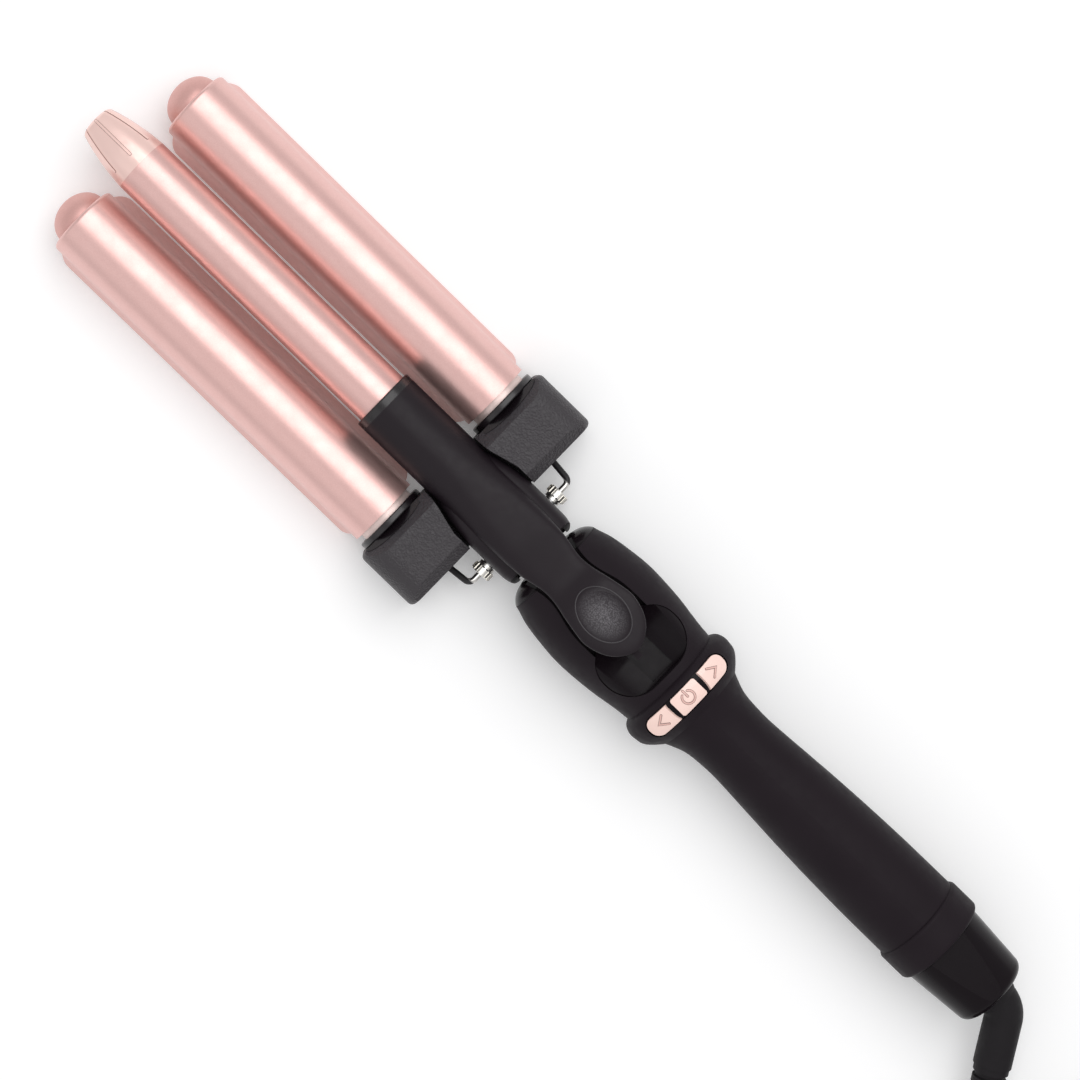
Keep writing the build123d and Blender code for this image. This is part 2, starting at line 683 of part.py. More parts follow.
def button_frame(tilt_y):
    """Plane on the button ring's skin at tilt_y, its Z along the skin's outward normal."""
    wide, high = ring_half_width - 0.2, ring_half_height - 0.15
    z = high * sqrt(1 - (tilt_y / wide) ** 2)
    normal = Vector(0, tilt_y / wide ** 2, z / high ** 2).normalized()
    return Plane(origin=(behind(button_behind), tilt_y, axis_z + z), x_dir=(1, 0, 0), z_dir=normal)


BUTTON_PLACES = {"up": -button_tilt_y, "power": 0.0, "down": button_tilt_y}


def button_outline(name, grow=0.0):
    """Plan of a button in its own plane: the side buttons have a rounded outer end."""
    length = button_length + 2 * grow
    if name == "power":
        return RectangleRounded(length, power_width + 2 * grow, power_corner)
    plan = Rectangle(length, button_width + 2 * grow)
    corners = plan.vertices().sort_by(Axis.Y)
    return fillet(corners[:2] if name == "up" else corners[2:], 0.46 * button_length)


def button_shaft(name, grow=0.0, up=4.0, down=6.0):
    plane = button_frame(BUTTON_PLACES[name])
    return plane * Pos(0, 0, -down) * extrude(button_outline(name, grow), up + down)


def stem_rod(name, radius, top, bottom):
    plane = button_frame(BUTTON_PLACES[name])
    return plane * Pos(0, 0, bottom) * Cylinder(radius, top - bottom, align=LOW)


def button(name):
    tile = (button_ring(button_proud) & button_shaft(name)) - button_ring(button_proud - button_thickness)
    tile = largest(tile)
    top = button_proud - button_thickness + 0.6
    return tile + stem_rod(name, stem_dia / 2, top, -5.4)


def largest(shape):
    return max(shape.solids(), key=lambda solid: solid.volume)


def slot_prism(grow=0.0):
    plan = RectangleRounded(slot_length + 2 * grow, 2 * (slot_half_width + grow), slot_corner + grow)
    return Pos(behind(button_behind), 0, axis_z + 6) * extrude(plan, 18)


def button_bezel():
    strip = (button_ring(-bezel_inset) & slot_prism()) - button_ring(-bezel_depth)
    for name in BUTTON_PLACES:
        strip -= button_shaft(name, button_gap)
    return strip


def upper_shell(body):
    split = block(behind(handle_end_behind + 1), behind(seam_behind - 1), -30, 30, axis_z, axis_z + 40)
    shell = body & split
    cavity = handle_cavity()
    keep = block(behind(ring_front_behind - 1), behind(0), -30, 30, trough_floor - trough_roof_wall, axis_z + 40)
    shell -= cavity - keep
    shell -= lever_trough()
    shell -= well_prism(fit)
    shell -= slot_prism(fit) - button_ring(-bezel_depth - fit)
    for name in BUTTON_PLACES:
        shell -= stem_rod(name, stem_dia / 2 + 0.35, 2, -8)
    return largest(shell)


def lower_shell(body):
    split = block(behind(handle_end_behind + 1), behind(seam_behind - 1), -30, 30, axis_z - 40, axis_z)
    shell = (body & split) - handle_cavity()
    for x, half in board_post_places():
        shell += rod_z(2.6, axis_z - half + 0.5, board_top - board_thickness, x, 0)
    for x, low in case_screw_places():
        shell -= rod_z(screw_dia / 2 + fit, -1, low + 12, x, 0)
        shell -= rod_z(screw_head_dia / 2 + fit, -1, low + 1.7, x, 0)
    return largest(shell)


def board_post_places():
    front = board_front_behind + 8.0
    return [(behind(front), 13.4 - 1.0), (behind(front + board_length - 16.0), 15.5 - 1.0)]


def case_screw_places():
    return [(behind(46.0), 0.6), (behind(172.0), 4.1)]


def case_screws():
    return [screw(x, 0, low, 8.0) for x, low in case_screw_places()]


def thumb_well(body):
    """Glossy insert under the spoon, with a channel for the lever's tab."""
    insert = well_prism() & oval_loft(handle_stations, -well_top_inset)
    floor = trough_floor + well_thickness
    bowl = rod_x(well_dish_radius, behind(seam_behind + 90), behind(seam_behind - 10), 0, floor + well_dish_radius)
    insert -= bowl
    x = behind(well_behind)
    channel = block(x - well_half_length + 0.8, x + well_half_length + 1, -channel_half_width, channel_half_width,
                    floor - channel_depth, floor + 20)
    return largest(insert - channel)


def nose_cap():
    """Rounded front closure of the handle; the yoke's tang passes through it."""
    cap = oval_loft([
        (seam_behind - fit, 18.1, 16.4), (seam_behind - 1.6, 16.9, 15.3), (seam_behind - 3.0, 14.9, 13.4),
        (nose_front_behind + 0.3, 12.4, 11.2), (nose_front_behind, 11.2, 10.1),
    ])
    plug = oval_loft([(seam_behind - 0.2, 18.1 - handle_wall - 0.3, 16.4 - handle_wall - 0.3),
                      (seam_behind + 5.0, 18.7 - handle_wall - 0.3, 17.0 - handle_wall - 0.3)])
    plug -= block(behind(60), behind(0), -30, 30, trough_floor - trough_roof_wall - 0.3, axis_z + 30)
    cap = cap + plug - lever_trough()
    tang = block(behind(60), behind(0), -tang_half_width - fit, tang_half_width + fit,
                 tang_bottom - fit, tang_top + fit)
    return largest(cap - tang)


# ---------------------------------------------------------------- electrics in the handle
def tact_switches():
    """One switch under each button, set square to the way the button moves."""
    top = -5.4 - button_travel - 0.1
    switches = []
    for name in BUTTON_PLACES:
        plane = button_frame(BUTTON_PLACES[name])
        base = plane * Pos(0, 0, top - switch_height) * Box(switch_size, switch_size, switch_height - 0.8, align=LOW)
        plunger = plane * Pos(0, 0, top - 1.0) * Cylinder(1.6, 1.0, align=LOW)
        switches.append(base + plunger)
    return switches


def switch_carrier():
    """Faceted bracket that holds the three switches, standing on the circuit board's front end."""
    depth = -5.4 - button_travel - 0.1 - switch_height
    carrier = None
    for name in BUTTON_PLACES:
        plane = button_frame(BUTTON_PLACES[name])
        plate = plane * Pos(0, 0, depth - carrier_thickness) * Box(8.0, 9.4, carrier_thickness, align=LOW)
        carrier = plate if carrier is None else carrier + plate
    x = behind(button_behind)
    carrier += block(x - 4.0, x + 4.0, -4.0, 4.0, board_top, axis_z + ring_half_height + depth - 1.0)
    for switch in tact_switches():
        carrier -= switch
    return carrier


def circuit_board():
    x1 = behind(button_behind - 6.0)
    x0 = behind(board_front_behind + board_length)
    low = board_top - board_thickness
    board = block(x0, x1, -board_half_width, board_half_width, low, board_top)
    return board


def board_parts():
    """Tall components: relay, triac with its tab, filter capacitor and a fuse."""
    x = behind(board_front_behind)
    relay = block(x - 24.0, x - 10.0, -5.5, 5.5, board_top, board_top + 7.0)
    triac = block(x - 32.0, x - 29.0, -5.0, 5.0, board_top, board_top + 8.0)
    capacitor = rod_z(4.2, board_top, board_top + 9.0, x - 40.0, 0)
    fuse = block(x - 58.0, x - 48.0, -2.4, 2.4, board_top, board_top + 5.0)
    return [relay, triac, capacitor, fuse]


# ---------------------------------------------------------------- rear end and swivel
def end_collar():
    """Rear ring of the handle; its web is the bearing of the cord swivel."""
    x1 = behind(handle_end_behind)
    x0 = x1 - end_collar_length
    collar = rod_x(end_collar_dia / 2, x0, x1, 0, axis_z)
    collar = fillet(collar.edges().filter_by(GeomType.CIRCLE), 1.4)
    collar -= rod_x(swivel_dia / 2 + running_fit, x0 - 1, x1 + 1, 0, axis_z)
    collar -= rod_x(swivel_flange_dia / 2 + clearance, x0 + 5.0, x1 + 1, 0, axis_z)
    return collar


def swivel_cap():
    """Glossy rear cap that turns with the cord, with a flat on top."""
    x1 = behind(handle_end_behind + end_collar_length) - cap_gap
    x0 = behind(cap_rear_behind)
    front_r, rear_r = cap_front_dia / 2, cap_rear_dia / 2
    bend = 3.2
    profile = Plane.XZ * make_face([
        Line((x1, 0), (x1, front_r)),
        Line((x1, front_r), (x0 + bend, rear_r)),
        RadiusArc((x0 + bend, rear_r), (x0, rear_r - bend), -bend * 1.02),
        Line((x0, rear_r - bend), (x0, 0)),
        Line((x0, 0), (x1, 0)),
    ])
    cap = Pos(0, 0, axis_z) * revolve(profile, Axis.X)
    cap -= block(x0 - 1, x1 + 1, -30, 30, axis_z + cap_facet_height, axis_z + 40)
    return cap


def swivel_core():
    """Shaft of the swivel with the flange that keeps it in the collar."""
    x_cap = behind(handle_end_behind + end_collar_length) - cap_gap
    x_web = behind(handle_end_behind + end_collar_length) + 5.0 + cap_gap
    core = rod_x(swivel_dia / 2, x_cap, x_web + 3.0, 0, axis_z)
    core += rod_x(swivel_flange_dia / 2, x_web, x_web + 3.0, 0, axis_z)
    return core


def slip_rings():
    x0 = behind(handle_end_behind + end_collar_length) + 8.0 + cap_gap
    post = rod_x(3.0, x0, x0 + 14.0, 0, axis_z)
    for place in (3.0, 9.0):
        post += rod_x(5.4, x0 + place, x0 + place + 3.0, 0, axis_z)
    return post


# ---------------------------------------------------------------- cord, its elbow and its plug
def outlet_direction():
    turn, drop = radians(elbow_turn), radians(elbow_drop)
    return Vector(-cos(turn), sin(turn) * cos(drop), -sin(turn) * sin(drop))


elbow_corner = Vector(behind(cap_rear_behind + elbow_corner_out), 0, axis_z)


def cord_elbow():
    """Angled outlet moulded on the swivel cap."""
    start = Vector(behind(cap_rear_behind), 0, axis_z)
    end = elbow_corner + outlet_direction() * elbow_leg
    route = FilletPolyline(start, elbow_corner, end, radius=9.0)
    pipe = sweep(Plane(origin=start, z_dir=(-1, 0, 0)) * Circle(elbow_rear_dia / 2), path=route)
    root = Pos(*start) * Rot(0, -90, 0) * Cone(elbow_front_dia / 2, elbow_rear_dia / 2, 3.2, align=LOW)
    return pipe + root


def strain_relief():
    """Ribbed flexible sleeve between the elbow and the cord."""
    start = elbow_corner + outlet_direction() * elbow_leg
    plane = Plane(origin=start, z_dir=outlet_direction())
    sleeve = plane * Cone(relief_dia / 2 - 0.9, relief_end_dia / 2, relief_length, align=LOW)
    pitch = relief_length / relief_ribs
    for number in range(relief_ribs):
        share = number / relief_ribs
        radius = relief_dia / 2 + (relief_end_dia / 2 + 0.5 - relief_dia / 2) * share
        sleeve += plane * Pos(0, 0, number * pitch) * Cylinder(radius, 0.55 * pitch, align=LOW)
    bore = plane * Pos(0, 0, relief_length - cord_bore) * Cylinder(cord_dia / 2, cord_bore, align=LOW)
    return sleeve - bore


def cord_start():
    return elbow_corner + outlet_direction() * (elbow_leg + relief_length - cord_bore)


coil_width = coil_columns * cord_dia
coil_height = coil_layers * cord_dia
coil_outer = coil_radius + coil_width / 2
coil_centre = cord_start() + Vector(-81.1, -0.35)
CORD_RUN = 26.0              # straight out of the strain relief

# Route from there into the coil: across from the cord's start, and height above the table.
CORD_ROUTE = [(-31.9, 39.0, 5.0), (-55.1, 48.4, 3.3), (-81.1, 48.4, 3.25)]
# Route of the end on top of the coil: from the coil's centre, and height above the table.
TAIL_ROUTE = [(17.1, 38.9, 22.75), (-4.6, 42.7, 22.9), (-24.9, 33.6, 23.8), (-36.7, 14.8, 25.0), (-35.9, -7.7, 26.0)]


def cord_points():
    """Route from the strain relief down to the table and into the coil's first turn."""
    start = cord_start()
    route = [Vector(start.X + x, start.Y + y, z) for x, y, z in CORD_ROUTE]
    return [start, start + outlet_direction() * CORD_RUN, *route]


def corner_radii(points):
    """Largest even arcs: 0.45 of the shorter run, over the tangent of half the turn."""
    radii = []
    for a, b, c in zip(points, points[1:], points[2:]):
        first, second = b - a, c - b
        turn = radians(first.get_angle(second))
        radii.append(0.45 * min(first.length, second.length) / tan(turn / 2))
    return radii


def cord_tube(points):
    radii = corner_radii(points)
    print("cord bend radii:", [round(r, 1) for r in radii])
    route = FilletPolyline(*points, radius=radii)
    tube = sweep(Plane(origin=route @ 0, z_dir=route % 0) * Circle(cord_dia / 2), path=route)
    straight = pi * (cord_dia / 2) ** 2 * route.length
    print("cord length", round(route.length, 1), "volume share", round(tube.volume / straight, 4))
    return tube


def cord_coil():
    ring = Cylinder(coil_outer, coil_height, align=LOW) - Cylinder(coil_outer - coil_width, coil_height, align=LOW)
    return Pos(coil_centre.X, coil_centre.Y) * ring


def tail_points():
    """Last part of the cord, on top of the coil, up to the plug."""
    return [Vector(coil_centre.X + x, coil_centre.Y + y, z) for x, y, z in TAIL_ROUTE]


def plug_plane():
    end, before = tail_points()[-1], tail_points()[-2]
    heading = Vector(end.X - before.X, end.Y - before.Y, 0).normalized()
    return Plane(origin=end, x_dir=Vector(0, 0, 1), z_dir=heading)


def mains_plug():
    """Flat two-pin plug body with a short relief and a waisted grip."""
    body = loft([
        RectangleRounded(10.0, 11.0, 3.0),
        Pos(0, 0, 8.0) * RectangleRounded(11.0, 15.0, 4.0),
        Pos(0, 0, 20.0) * RectangleRounded(plug_thickness - 1, plug_width - 5, 5.0),
        Pos(0, 0, plug_length) * RectangleRounded(plug_thickness, plug_width, 5.5),
    ])
    return plug_plane() * body


def plug_pins():
    pins = []
    for side in (-1, 1):
        pin = Cylinder(plug_pin_dia / 2, plug_pin_length, align=LOW)
        pin = fillet(pin.edges().filter_by(GeomType.CIRCLE).sort_by(Axis.Z)[-1], 1.2)
        pins.append(plug_plane() * Pos(0, side * plug_pin_pitch / 2, plug_length) * pin)
    return pins


# ---------------------------------------------------------------- write one file per sub-part
def write(name, shape):
    solids = [s for piece in (shape if isinstance(shape, list) else [shape]) for s in piece.solids()]
    export_step(Compound(children=solids), f"parts/{name}.step")


def main():
    os.makedirs("parts", exist_ok=True)
    body = handle_body()
    covers = yoke_covers()
    parts = {
        "upper_shell": upper_shell(body), "lower_shell": lower_shell(body), "thumb_well": thumb_well(body),
        "nose_cap": nose_cap(), "button_bezel": button_bezel(), "tact_switches": tact_switches(),
        "switch_carrier": switch_carrier(), "circuit_board": circuit_board(), "board_parts": board_parts(),
        "case_screws": case_screws(), "end_collar": end_collar(),
        "yoke_frame": yoke_frame(), "yoke_cover": covers[-1], "hinge_cover": covers[0], "yoke_screws": yoke_screws(),
        "hinge_pin": hinge_pin(), "lever_spring": lever_spring(), "stand_wire": stand_wire(),
        "lever_shell": lever_shell(), "lever_front_ring": lever_front_ring(), "press_stop": press_stop(),
        "middle_barrel": middle_barrel(), "cool_tip": cool_tip(),
        "middle_heater": heater_plate(middle_front_ahead, 0, axis_z),
        "middle_spreader": heat_spreader(middle_front_ahead, middle_r - middle_wall - fit, 0, axis_z),
        "swivel_cap": swivel_cap(), "swivel_core": swivel_core(), "slip_rings": slip_rings(),
        "cord_elbow": cord_elbow(), "strain_relief": strain_relief(), "power_cord": cord_tube(cord_points()),
        "cord_coil": cord_coil(), "cord_tail": cord_tube(tail_points()), "mains_plug": mains_plug(),
        "plug_pins": plug_pins(),
    }
    for name in BUTTON_PLACES:
        parts[f"{name}_button"] = button(name)
    spreader_r = barrel_r - barrel_wall - fit
    for side, hand in ((-1, "left"), (1, "right")):
        y = side * barrel_pitch
        parts[f"{hand}_barrel"] = outer_barrel(side)
        parts[f"{hand}_end_dome"] = end_dome(side)
        parts[f"{hand}_barrel_neck"] = barrel_neck(side)
        parts[f"{hand}_heat_flange"] = heat_flange(side)
        parts[f"{hand}_heater"] = heater_plate(barrel_front_ahead, y, barrel_height)
        parts[f"{hand}_spreader"] = heat_spreader(barrel_front_ahead, spreader_r, y, barrel_height)
        parts[f"{hand}_stand_bush"] = stand_bush(side)
    for name, shape in parts.items():
        write(name, shape)


if __name__ == "__main__":
    main()
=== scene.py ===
"""Looks of a three-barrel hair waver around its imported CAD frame. Everything is in metres, in the part's
frame: +X towards the barrel tips, +Z up, Z = 0 on the surface that the tool lies on."""
import json
import math

import bpy
from mathutils import Matrix, Vector
from mathutils.bvhtree import BVHTree


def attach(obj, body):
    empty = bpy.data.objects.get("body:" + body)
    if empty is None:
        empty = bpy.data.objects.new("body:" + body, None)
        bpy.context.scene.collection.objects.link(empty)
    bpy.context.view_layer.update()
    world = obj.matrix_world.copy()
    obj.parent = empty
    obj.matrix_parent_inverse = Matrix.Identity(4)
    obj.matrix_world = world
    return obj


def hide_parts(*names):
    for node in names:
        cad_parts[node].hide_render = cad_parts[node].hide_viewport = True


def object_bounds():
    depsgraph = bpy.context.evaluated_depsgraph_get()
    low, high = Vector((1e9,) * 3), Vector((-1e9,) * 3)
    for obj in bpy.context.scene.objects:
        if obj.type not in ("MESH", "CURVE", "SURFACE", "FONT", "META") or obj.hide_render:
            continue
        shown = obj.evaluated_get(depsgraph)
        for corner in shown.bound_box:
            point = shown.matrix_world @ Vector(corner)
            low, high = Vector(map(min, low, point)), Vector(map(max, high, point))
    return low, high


MM = 0.001
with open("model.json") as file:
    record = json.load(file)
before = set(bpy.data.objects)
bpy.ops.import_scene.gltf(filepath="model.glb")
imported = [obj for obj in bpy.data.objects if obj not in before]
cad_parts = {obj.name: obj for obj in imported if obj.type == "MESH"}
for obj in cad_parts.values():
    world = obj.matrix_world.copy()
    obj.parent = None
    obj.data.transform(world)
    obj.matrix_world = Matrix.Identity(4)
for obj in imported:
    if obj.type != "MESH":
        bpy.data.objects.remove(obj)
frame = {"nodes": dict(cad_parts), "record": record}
CAD_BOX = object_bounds()
NODES = frame["nodes"]
SUBPART_SLOT = {part["node"]: part["material_slot"] for part in frame["record"]["subparts"]}

# ---------------------------------------------------------------- camera
IMAGE_WIDTH = 1080
SENSOR = 36.0                 # mm
FOCAL_PIXELS = 3061.0
CAMERA_DISTANCE = 0.998
CAMERA_TURN = math.radians(44.2)       # of the tool's long axis in the picture
CAMERA_TILT = math.radians(3.8)        # from straight above, towards the tips
AIM = Vector((0.0077, -0.0029, 0.020))


def make_camera():
    data = bpy.data.cameras.new("photo_camera")
    data.sensor_width = SENSOR
    data.lens = FOCAL_PIXELS / IMAGE_WIDTH * SENSOR
    data.clip_start, data.clip_end = 0.01, 20.0
    camera = bpy.data.objects.new("photo_camera", data)
    bpy.context.scene.collection.objects.link(camera)
    cos_turn, sin_turn = math.cos(CAMERA_TURN), math.sin(CAMERA_TURN)
    cos_tilt, sin_tilt = math.cos(CAMERA_TILT), math.sin(CAMERA_TILT)
    right = Vector((-cos_turn * cos_tilt, -sin_turn, cos_turn * sin_tilt))
    up = Vector((sin_turn * cos_tilt, -cos_turn, -sin_turn * sin_tilt))
    back = Vector((sin_tilt, 0, cos_tilt))
    turned = Matrix((right, up, back)).transposed().to_4x4()
    camera.matrix_world = Matrix.Translation(AIM + back * CAMERA_DISTANCE) @ turned
    bpy.context.scene.camera = camera


# ---------------------------------------------------------------- cord
CORD_DIA = 6.5 * MM
CORD_EXIT = Vector((-231.94, 31.99, 13.20)) * MM       # bottom of the strain relief's bore
RELIEF_AXIS = Vector((-0.5446, 0.8203, -0.1744))
CORD_RUN = 26.0 * MM
COIL_CENTRE = Vector((-313.04, 31.64, 0)) * MM
COIL_RADIUS = 39.0 * MM
COIL_COLUMNS, COIL_LAYERS = 4, 3
LAST_COLUMN = 2               # the last turn lies one column out from the innermost
POINTS_PER_TURN = 16
CROSSING = 0.25               # share of a turn in which the cord moves to the next place
CORD_ROUTE = [(-31.9, 39.0, 5.0), (-55.1, 48.4, 3.3), (-81.1, 48.4, 3.25)]
TAIL_ROUTE = [(17.1, 38.9, 22.75), (-4.6, 42.7, 22.9), (-24.9, 33.6, 23.8), (-36.7, 14.8, 25.0),
              (-35.9, -7.7, 26.0)]


def column_radius(column):
    return COIL_RADIUS + (column - (COIL_COLUMNS + 1) / 2) * CORD_DIA


def coil_turns(first_angle, last_angle):
    """Points of the wound turns: inwards in the first layer, back out in the next, one layer on the other."""
    places = []
    for layer in range(COIL_LAYERS):
        columns = list(range(COIL_COLUMNS, 0, -1))
        if layer % 2:
            columns.reverse()
        places += [(column_radius(column), (layer + 0.5) * CORD_DIA) for column in columns]
    places = places[:-(LAST_COLUMN - 1)]
    whole = 2 * math.pi
    total = whole * len(places) + (last_angle - first_angle) % whole - whole
    steps = round(total / whole * POINTS_PER_TURN)
    reach = 1 / math.cos(math.pi / POINTS_PER_TURN)
    points = []
    for step in range(1, steps):
        share = step / POINTS_PER_TURN
        turn = min(int(share), len(places) - 1)
        after = places[min(turn + 1, len(places) - 1)]
        ease = max(0.0, min(1.0, (share - turn - (1 - CROSSING)) / CROSSING))
        radius = places[turn][0] + (after[0] - places[turn][0]) * ease
        height = places[turn][1] + (after[1] - places[turn][1]) * ease
        angle = first_angle + step * whole / POINTS_PER_TURN
        spot = Vector((radius * reach * math.cos(angle), radius * reach * math.sin(angle), height))
        points.append(COIL_CENTRE + spot)
    return points


def cord_points():
    """The outlet, the route, the wound turns and the tail. The route's last point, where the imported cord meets
    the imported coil, is left out, because the first turn passes there by itself."""
    lead = [CORD_EXIT, CORD_EXIT + RELIEF_AXIS * CORD_RUN]
    lead += [Vector((CORD_EXIT.x + x * MM, CORD_EXIT.y + y * MM, z * MM)) for x, y, z in CORD_ROUTE[:-1]]
    tail = [COIL_CENTRE + Vector(point) * MM for point in TAIL_ROUTE]
    entry = lead[-1] - COIL_CENTRE
    first = math.atan2(entry.y, entry.x)
    last = math.atan2(TAIL_ROUTE[0][1], TAIL_ROUTE[0][0])
    return lead + coil_turns(first, last) + tail


def make_cord():
    curve = bpy.data.curves.new("power_cord_run", "CURVE")
    curve.dimensions = "3D"
    curve.bevel_depth = 1.0              # metres, times each point's radius
    curve.bevel_resolution = 6
    curve.resolution_u = 8
    points = cord_points()
    spline = curve.splines.new("NURBS")
    spline.points.add(len(points) - 1)
    for slot, point in zip(spline.points, points):
        slot.co = (*point, 1.0)
        slot.radius = CORD_DIA / 2
    spline.order_u = 3
    spline.use_endpoint_u = True
    cord = bpy.data.objects.new("power_cord_run", curve)
    bpy.context.scene.collection.objects.link(cord)
    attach(cord, "swivel")
    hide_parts("power_cord", "cord_coil", "cord_tail")
    return cord


# ---------------------------------------------------------------- materials
class Material:
    """Node material with a few short ways to build on its surface shader."""

    def __init__(self, name, colour, **values):
        self.made = bpy.data.materials.new(name)
        self.made.use_nodes = True
        self.tree = self.made.node_tree
        self.shader = self.tree.nodes["Principled BSDF"]
        named = {key.replace("_", " ").title().replace("Ior", "IOR"): value for key, value in values.items()}
        self.put(self.shader, {"Base Color": (*colour, 1.0), **named})
        self.place = self.node("ShaderNodeTexCoord").outputs["Object"]

    def put(self, node, values):
        for key, value in values.items():
            node.inputs[key].default_value = value

    def node(self, kind, values=None, **settings):
        made = self.tree.nodes.new(kind)
        for key, value in settings.items():
            setattr(made, key, value)
        self.put(made, values or {})
        return made

    def link(self, output, target):
        self.tree.links.new(output, target)

    def stretched(self, stretch):
        mapping = self.node("ShaderNodeMapping", {"Scale": stretch})
        self.link(self.place, mapping.inputs["Vector"])
        return mapping.outputs["Vector"]

    def noise(self, size, detail=2.0, stretch=None):
        """Cloudy grain whose spots are about that size across, in metres."""
        texture = self.node("ShaderNodeTexNoise", {"Scale": 1.0 / size, "Detail": detail})
        self.link(self.stretched(stretch) if stretch else self.place, texture.inputs["Vector"])
        return texture.outputs["Fac"]

    def cells(self, size, feature="F1", stretch=None):
        texture = self.node("ShaderNodeTexVoronoi", {"Scale": 1.0 / size}, feature=feature)
        self.link(self.stretched(stretch) if stretch else self.place, texture.inputs["Vector"])
        return texture

    def spread(self, value, low, high, source=(0.3, 0.7)):
        limits = {"From Min": source[0], "From Max": source[1], "To Min": low, "To Max": high}
        span = self.node("ShaderNodeMapRange", limits)
        self.link(value, span.inputs["Value"])
        return span.outputs["Result"]

    def mixed(self, value, first, second):
        ramp = self.node("ShaderNodeMix", data_type="RGBA")
        ramp.inputs["A"].default_value = (*first, 1.0)
        ramp.inputs["B"].default_value = (*second, 1.0)
        self.link(value, ramp.inputs["Factor"])
        return ramp.outputs["Result"]

    def colour(self, output):
        self.link(output, self.shader.inputs["Base Color"])

    def roughness(self, output):
        self.link(output, self.shader.inputs["Roughness"])

    def bump(self, value, depth, strength=1.0, under=None):
        """Relief of that depth in metres; under is another relief that it lies on."""
        bump = self.node("ShaderNodeBump", {"Strength": strength, "Distance": depth})
        self.link(value, bump.inputs["Height"])
        if under:
            self.link(under, bump.inputs["Normal"])
        self.link(bump.outputs["Normal"], self.shader.inputs["Normal"])
        return bump.outputs["Normal"]


ROSE = (0.835, 0.55, 0.515)
ROSE_DEEP = (0.77, 0.48, 0.445)
ROSE_DULL = (0.76, 0.455, 0.42)
ROSE_DULL_DEEP = (0.70, 0.405, 0.37)
ROSE_PLASTIC = (0.95, 0.685, 0.625)
ROSE_PALE = (0.86, 0.70, 0.66)
ROSE_PALE_DEEP = (0.80, 0.64, 0.60)
BUTTON_ROSE = (1.0, 0.74, 0.665)
CHARCOAL = (0.0120, 0.0082, 0.0110)
CHARCOAL_LIGHT = (0.0165, 0.0118, 0.0152)
GRAINED = (0.0330, 0.0285, 0.0325)
GRAINED_LIGHT = (0.0340, 0.0290, 0.0335)
PIANO = (0.0070, 0.0045, 0.0062)
DISH_CENTRE = Vector((-22.0, 0.0)) * MM
DISH_HALF = (10.1 * MM, 7.5 * MM)
DISH_FLOOR_Z = 43.3 * MM
DISH_DEEP = 4.0 * MM          # how far the dish's grain and painted highlight reach, above and below its floor


def rose_paint(name="rose_paint", colour=ROSE, deep=ROSE_DEEP, rough=(0.34, 0.41), metal=0.82):
    """Satin metallic paint: fine flake, faint orange peel, slightly cloudy."""
    m = Material(name, colour, metallic=metal, roughness=rough[0])
    flake = m.cells(0.00022)
    shade = m.spread(flake.outputs["Color"], 0.0, 1.0, (0.0, 1.0))
    m.colour(m.mixed(shade, deep, colour))
    m.roughness(m.spread(m.noise(0.004, 3.0), *rough))
    peel = m.bump(m.noise(0.0009, 1.0), 0.000012, 0.35)
    m.bump(shade, 0.000006, 0.30, peel)
    return m.made


def rose_plastic():
    m = Material("rose_plastic", ROSE_PLASTIC, metallic=0.55, roughness=0.34, coat_weight=0.15,
                 coat_roughness=0.08)
    m.colour(m.mixed(m.noise(0.006, 3.0), (0.92, 0.645, 0.585), ROSE_PLASTIC))
    m.roughness(m.spread(m.noise(0.002, 4.0), 0.30, 0.38))
    m.bump(m.noise(0.0012, 1.0), 0.000006, 0.2)
    return m.made


def button_rose():
    """Bright satin moulding of the three push buttons."""
    m = Material("button_rose", BUTTON_ROSE, roughness=0.32, coat_weight=0.2, coat_roughness=0.12)
    m.colour(m.mixed(m.noise(0.006, 3.0), (0.97, 0.70, 0.625), BUTTON_ROSE))
    m.roughness(m.spread(m.noise(0.002, 4.0), 0.28, 0.36))
    m.bump(m.noise(0.0012, 1.0), 0.000006, 0.2)
    return m.made


def soft_black():
    """Soft-touch moulding with a very fine even grain."""
    m = Material("soft_black", CHARCOAL, roughness=0.52, specular_ior_level=0.10)
    m.colour(m.mixed(m.noise(0.012, 4.0), CHARCOAL, CHARCOAL_LIGHT))
    m.roughness(m.spread(m.noise(0.003, 4.0), 0.46, 0.58))
    m.bump(m.noise(0.00022, 2.0), 0.000016, 0.40)
    return m.made


def grained_black():
    """The same plastic with the coarser leather-like grain of the yoke."""
    m = Material("grained_black", GRAINED, roughness=0.46, specular_ior_level=0.45)
    m.colour(m.mixed(m.noise(0.010, 4.0), GRAINED, GRAINED_LIGHT))
    m.roughness(m.spread(m.noise(0.0015, 3.0), 0.40, 0.54))
    grain = m.cells(0.00062, "SMOOTH_F1")
    under = m.bump(grain.outputs["Distance"], 0.00028, 1.0)
    m.bump(m.noise(0.0002, 2.0), 0.000012, 0.3, under)
    return m.made


def piano_black():
    """Polished heat-proof moulding of the flanges and the lever's front ring."""
    m = Material("piano_black", PIANO, roughness=0.26, specular_ior_level=0.55)
    m.roughness(m.spread(m.noise(0.003, 5.0), 0.22, 0.31))
    m.bump(m.noise(0.0012, 1.0), 0.000006, 0.2)
    return m.made


def gloss_black():
    """Moulding with a low gloss, for the thumb well, the nose and the rear cap."""
    m = Material("gloss_black", PIANO, roughness=0.22, specular_ior_level=0.12)
    m.roughness(m.spread(m.noise(0.003, 5.0), 0.18, 0.27))
    m.bump(m.noise(0.0012, 1.0), 0.000006, 0.2)
    return m.made


